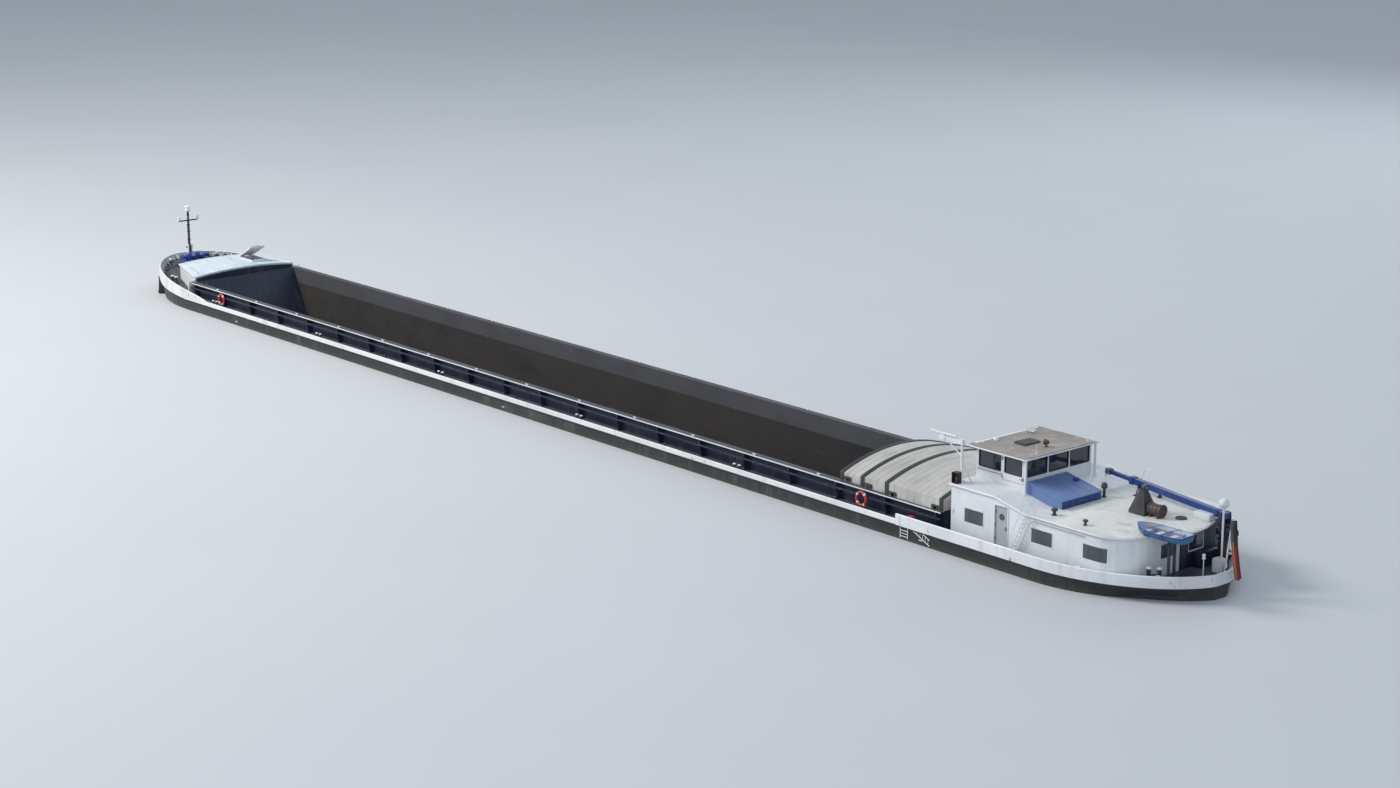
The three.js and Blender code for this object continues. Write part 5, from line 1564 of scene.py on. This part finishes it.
def workboat():
    """An open boat, drawn out station by station from its transom, with its fittings."""
    section = [(0.048, 0.029), (0.047, 0.019), (0.044, 0.009), (0.037, 0.0025), (0.019, 0.0004), (0.0, 0.0)]
    stern = -0.124
    outline = [(stern, y, z) for y, z in section] + [(stern, -y, z) for y, z in reversed(section[:-1])]
    shell = drawn("workboat_shell", outline)
    # Columns: station, half-breadth at the gunwale, gunwale height, lift of the floor
    stations = [(-0.093, 0.053, 0.0285, 0), (-0.054, 0.0558, 0.0282, 0), (-0.016, 0.0566, 0.0285, 0),
                (0.023, 0.0553, 0.0292, 0), (0.054, 0.0508, 0.0302, 0.0003), (0.078, 0.0425, 0.0322, 0.0015),
                (0.097, 0.032, 0.0342, 0.0045), (0.111, 0.0203, 0.0358, 0.0095),
                (0.119, 0.0102, 0.0366, 0.0155), (0.1236, 0.0022, 0.037, 0.0225)]
    before = (stern, 0.048, 0.029, 0)
    opened(shell)
    for station in stations:
        x, half, height, lift = station
        old_x, old_half, old_height, old_lift = before
        bpy.ops.mesh.extrude_edges_move(TRANSFORM_OT_translate={"value": (x - old_x, 0, lift - old_lift)})
        grow = (height - lift) / (old_height - old_lift)
        bpy.ops.transform.resize(value=(1, half / old_half, grow), center_override=(x, 0, lift))
        before = station
    free()
    chosen(shell, edges=lambda place, way: place.x < stern + 0.0005)
    bpy.ops.mesh.edge_face_add()
    free()
    cleaned(shell)
    if sum(face.normal.z * face.area for face in shell.data.polygons) > 0:
        opened(shell)
        bpy.ops.mesh.flip_normals()
        free()
    worked(shell, "SOLIDIFY", thickness=0.003, offset=-1, use_even_offset=True)
    alone(shell)
    bpy.ops.object.shade_smooth_by_angle(angle=0.6)
    gunwale = [(stern, 0.048, 0.029)] + [(x, half, height) for x, half, height, lift in stations]
    ring = gunwale + [(x, -y, z) for x, y, z in reversed(gunwale)]
    strake = [(x + (0.0012 if x > 0.115 else 0), y * 1.01, z - 0.001) for x, y, z in ring]
    across = [(stern - 0.0012, 0.048, 0.028), (stern - 0.0012, -0.048, 0.028)]
    rails = [pipe("strake", strake, 0.0026), pipe("strake", across, 0.0026)]
    seats = []
    for x, half in ((-0.068, 0.0505), (0.002, 0.0515), (0.064, 0.043)):
        seats.append(slab("thwart", (x - 0.012, x + 0.012), (-half, half), (0.0168, 0.0208), 0.0012))
        seats.append(slab("knee", (x - 0.002, x + 0.002), (-0.003, 0.003), (0.003, 0.0172), 0.0006))
    for y in (-0.026, -0.013, 0, 0.013, 0.026):
        seats.append(slab("slat", (-0.11, 0.056), (y - 0.0045, y + 0.0045), (0.0032, 0.0048), 0.0006))
    oars = []
    for y, turn in ((-0.012, 0.03), (-0.023, -0.01)):
        oar = [pipe("loom", [(-0.1, y, 0.0229), (0.06, y, 0.0229)], 0.0018),
               slab("blade", (0.055, 0.09), (y - 0.006, y + 0.006), (0.0219, 0.0239), 0.001)]
        oars.append(moved(joined("oar", oar), (0, 0, 0.0003), turn, (0, y, 0)))
    for name, parts, finish in (("workboat_hull", [shell], "boat"), ("workboat_strake", rails, "blue"),
                                ("workboat_thwarts", seats, "boat_inside"), ("workboat_oars", oars, "wood")):
        piece = parts[0] if len(parts) == 1 else joined(name, parts)
        piece.name = name
        moved(piece, BOAT_SPOT, 0)
        moved(piece, turn=BOAT_TURN, about=BOAT_SPOT)
        fitted(piece, finish)
    hull = bpy.data.objects["workboat_hull"]
    painted_over(hull, FINISH["boat_inside"], boat_inner)
    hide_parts("workboat")
    straps = [pipe("strap", [(x, 0.166, 0.5045), (x, 0.1385, 0.516), (x, 0.1385, 0.5375), (x, 0.2, 0.541),
                             (x, 0.2615, 0.5375), (x, 0.2615, 0.516), (x, 0.206, 0.5045)], 0.0013, 2)
              for x in (-4.05, -3.96)]
    fitted(joined("boat_straps", straps), "navy")


def boat_inner(place, normal):
    """Picks the faces of the boat's inside: those that look towards its middle line or up."""
    back = Matrix.Rotation(-BOAT_TURN, 3, "Z")
    at, way = back @ (place - BOAT_SPOT), back @ normal
    if way.z > 0.3:
        return True
    return way.z > -0.12 and (at.y * way.y < -0.0005 * abs(way.y) or (at.x < -0.115 and way.x > 0.5))


# Stern
def flag():
    """The ensign: three bands of cloth hanging limp from the raked staff."""
    x, y = -4.126, -0.06
    rake = math.radians(7)
    top = Vector((x - 0.256 * math.sin(rake), y, 0.314 + 0.256 * math.cos(rake)))
    button = turned("button", (top.x, y, top.z - 0.001),
                    [(0, 0), (0.0058, 0.001), (0.0062, 0.004), (0.003, 0.007), (0, 0.0073)], steps=16)
    cleat = slab("cleat", (x - 0.014, x - 0.009), (y - 0.0025, y + 0.0025), (0.352, 0.368), 0.001)
    fitted(joined("staff_button", [button, cleat]), "white")
    # The hoist runs down the staff and the fly hangs straight under it, gathered in folds
    width, length, folds = 0.13, 0.24, 5
    line = []
    for i in range(6 * folds + 1):
        part = i / (6 * folds)
        sway = 0.0105 * math.sin(2 * math.pi * folds * part) * (0.35 + part)
        line.append((top.x - 0.0052 - 0.006 * part - 0.004 * math.sin(9 * part),
                     y - 0.014 + 0.036 * part + 0.25 * sway, top.z - 0.007))
        line[-1] = (line[-1][0] + sway, line[-1][1], line[-1][2])
    cloth = drawn("ensign_cloth", line)
    opened(cloth)
    rows = 16
    for i in range(rows):
        fall = (-0.0011 - 0.00016 * i, 0, -length / rows)
        bpy.ops.mesh.extrude_edges_move(TRANSFORM_OT_translate={"value": fall})
        bpy.ops.transform.resize(value=(1.0 + 0.01 * math.sin(i * 0.9), 1.0 + 0.012 * math.sin(i * 0.6 + 1),
                                        1), center_override=(top.x - 0.01, y, 0))
    free()
    worked(cloth, "SOLIDIFY", thickness=0.0006, offset=0)
    alone(cloth)
    bpy.ops.object.shade_smooth()
    fitted(cloth, "ensign")
    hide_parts("ensign")


def stern_gear():
    """Rollers on the quarters, the stern lantern, and the hatch and boxes of the after deck."""
    parts = []
    for side in (1, -1):
        for x in (-4.02, -3.72):
            y = side * (deck_half(x) - 0.012)
            parts.append(turned("roller", (x, y, DECK),
                                [(0, 0), (0.012, 0), (0.012, 0.004), (0.007, 0.008), (0.007, 0.03),
                                 (0.0115, 0.035), (0.0115, 0.041), (0, 0.042)], steps=20))
    rollers = fitted(joined("stern_rollers", parts), "charcoal")
    heads_white(rollers, DECK + 0.033)
    light = [pipe("stem", [(-4.1, 0.045, DECK), (-4.1, 0.045, 0.405)], 0.0024),
             lamp("lantern", (-4.1, 0.045, 0.404), 0.008, 0.022)]
    stern_light = fitted(joined("stern_lantern", light), "white")
    painted_over(stern_light, FINISH["lamp"],
                 lambda place, normal: 0.4085 < place.z < 0.4195 and abs(normal.z) < 0.3)
    hatch = slab("lazarette_hatch", (-4.06, -4.0), (0.02, 0.08), (DECK - 0.002, 0.322), 0.003)
    inset(hatch, upper(0.32), 0.006, 0.0015)
    fitted(hatch, "navy")
    chest = slab("rope_box", (-4.085, -4.047), (-0.12, -0.078), (DECK, 0.368), 0.002)
    inset(chest, upper(0.36), 0.004, 0.002)
    fitted(chest, "white")
    cabinet = slab("deck_cabinet", (-3.99, -3.9502), (-0.2, -0.07), (DECK, 0.376), 0.003)
    inset(cabinet, facing_aft, 0.005, -0.002)
    fitted(cabinet, "navy")


# Running gear
def running_gear():
    x, z = -3.906, 0.085
    hub = turned("hub", (x, 0, z),
                 [(0, -0.036), (0.006, -0.034), (0.0115, -0.024), (0.0125, 0), (0.0168, 0.018), (0, 0.018)],
                 "x", 28)
    parts = [hub, drum("shaft", (x + 0.048, 0, z), 0.008, 0.066, "x", 20)]
    for i in range(4):
        outline = [(0.0, 0.008)]
        for step in range(13):
            turn = math.radians(-52 + 284 * step / 12)
            outline.append((0.0265 * math.cos(turn), 0.041 + 0.0265 * math.sin(turn)))
        blade = plate("blade", [(0.0016, u, w) for u, w in outline[1:]], (-0.0032, 0, 0))
        worked(blade, "SUBSURF", levels=1)
        softened(blade, 0.0006, 1)
        moved(blade, turn=math.radians(35), axis="Z")
        stub = drum("root", (0, 0, 0.014), 0.0052, 0.012, "z", 14)
        arm = joined("blade", [blade, stub])
        moved(arm, turn=math.radians(90 * i), axis="X")
        moved(arm, (x, 0, z))
        parts.append(arm)
    screw = fitted(joined("screw_propeller", parts), "bronze", body="propeller")
    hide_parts("propeller")
    for side, hand in SIDES:
        body = f"rudder_{hand[0]}"
        y = side * 0.062
        foil = [(-3.98, 0), (-3.984, 0.0032), (-3.994, 0.0047), (-4.01, 0.005), (-4.035, 0.0038),
                (-4.075, 0.001), (-4.075, -0.001), (-4.035, -0.0038), (-4.01, -0.005),
                (-3.994, -0.0047), (-3.984, -0.0032)]
        blade = plate("rudder_blade", [(u, y + v, 0.024) for u, v in foil], (0, 0, 0.166))
        plates = [slab("end", (-4.076, -3.982), (y - 0.0085, y + 0.0085), (low, low + 0.003), 0.0008)
                  for low in (0.024, 0.187)]
        head = bottom_aft(-3.97) - 0.0005
        stock = drum("stock", (-4.008, y, (0.18 + head) / 2), 0.007, head - 0.18, "z", 22)
        rudder = fitted(joined(f"rudder_blade_{hand}", [softened(blade, 0.0008, 1), stock, *plates]),
                        "charcoal", body=body)
        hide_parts(f"rudder_{hand}")


def bottom_aft(x):
    """Height of the bottom plating in the stern's tunnel."""
    part = clamp((-3.48 - x) / 0.52)
    return 0.226 * part ** 2 * (3 - 2 * part)


def hull_marks():
    """Draught ticks at bow, middle and stern, on both sides."""
    parts = []
    for side in (1, -1):
        for x in (-2.85, 0.2, 2.85):
            for i in range(6):
                z = 0.13 + 0.026 * i
                size = 0.022 if i % 2 else 0.012
                near, far = sorted((side * 0.4214, side * 0.4226))
                parts.append(block("tick", (x - size / 2, x + size / 2), (near, far), (z, z + 0.004)))
    fitted(joined("draught_ticks", parts), "white")


# Stage: a pale floor at the waterline, soft light and the camera
def stage():
    free()
    bpy.ops.mesh.primitive_plane_add(size=400, location=(0, 0, WATERLINE))
    floor = settled("floor")
    # The hold's bottom lies below the water, so the floor is open under the hold
    bpy.ops.object.mode_set(mode="EDIT")
    for spot, way in (((HOLD_AFT, 0, 0), (1, 0, 0)), ((HOLD_FORE, 0, 0), (1, 0, 0)),
                      ((0, HOLD_HALF, 0), (0, 1, 0)), ((0, -HOLD_HALF, 0), (0, 1, 0))):
        bpy.ops.mesh.select_all(action="SELECT")
        bpy.ops.mesh.bisect(plane_co=spot, plane_no=way)
    chosen(floor, faces=lambda place, normal: abs(place.y) < HOLD_HALF and HOLD_AFT < place.x < HOLD_FORE)
    bpy.ops.mesh.delete(type="FACE")
    free()
    f = Finish("floor_finish")
    tone = f.mix(f.noise(0.8, detail=2), (0.5, 0.52, 0.54), (0.53, 0.55, 0.57))
    floor.data.materials.append(f.done(tone, f.span(f.noise(2), 0, 1, 0.7, 0.8), f.noise(3), 0.0001))

    world = bpy.data.worlds.new("studio")
    bpy.context.scene.world = world
    world.use_nodes = True
    backdrop = world.node_tree.nodes["Background"]
    backdrop.inputs["Color"].default_value = (0.74, 0.83, 0.95, 1)
    backdrop.inputs["Strength"].default_value = 0.62

    # The key is high, ahead and to port, so the after faces are in soft shade
    for name, place, power, width, tint in (
        ("key", (7, 8, 10), 1900, 5, (1, 0.965, 0.9)),
        ("fill", (-9, 9, 6), 260, 8, (0.85, 0.92, 1)),
        ("back", (2, -12, 7), 300, 7, (0.9, 0.95, 1)),
    ):
        free()
        bpy.ops.object.light_add(type="AREA", location=place)
        lamp = bpy.context.active_object
        lamp.name = name
        lamp.data.energy = power
        lamp.data.size = width
        lamp.data.color = tint
        lamp.rotation_euler = (-Vector(place)).to_track_quat("-Z", "Y").to_euler()

    free()
    bpy.ops.object.camera_add(location=(-10.58, 8.356, 3.749))
    camera = bpy.context.active_object
    camera.data.lens = 68
    camera.data.clip_end = 500
    camera.rotation_euler = Vector((0.7338, -0.63245, -0.2481)).to_track_quat("-Z", "Y").to_euler()
    bpy.context.scene.camera = camera
    bpy.context.scene.view_settings.view_transform = "Standard"


for make in (bulwark_trim, deck_bollards, side_deck_gear, boarding_ladder, hold_fittings, windlass,
             anchor_gear, mast, trunk_trim, foredeck_gear, cover_gear, house_windows, house_doors,
             side_stairs, roof_edges, roof_fittings, funnel, stair_hood, wheelhouse_windows,
             wheelhouse_roof_gear, wheelhouse_inside, radar_gear, crane_gear, workboat, flag, stern_gear,
             running_gear, hull_marks):
    make()
stage()
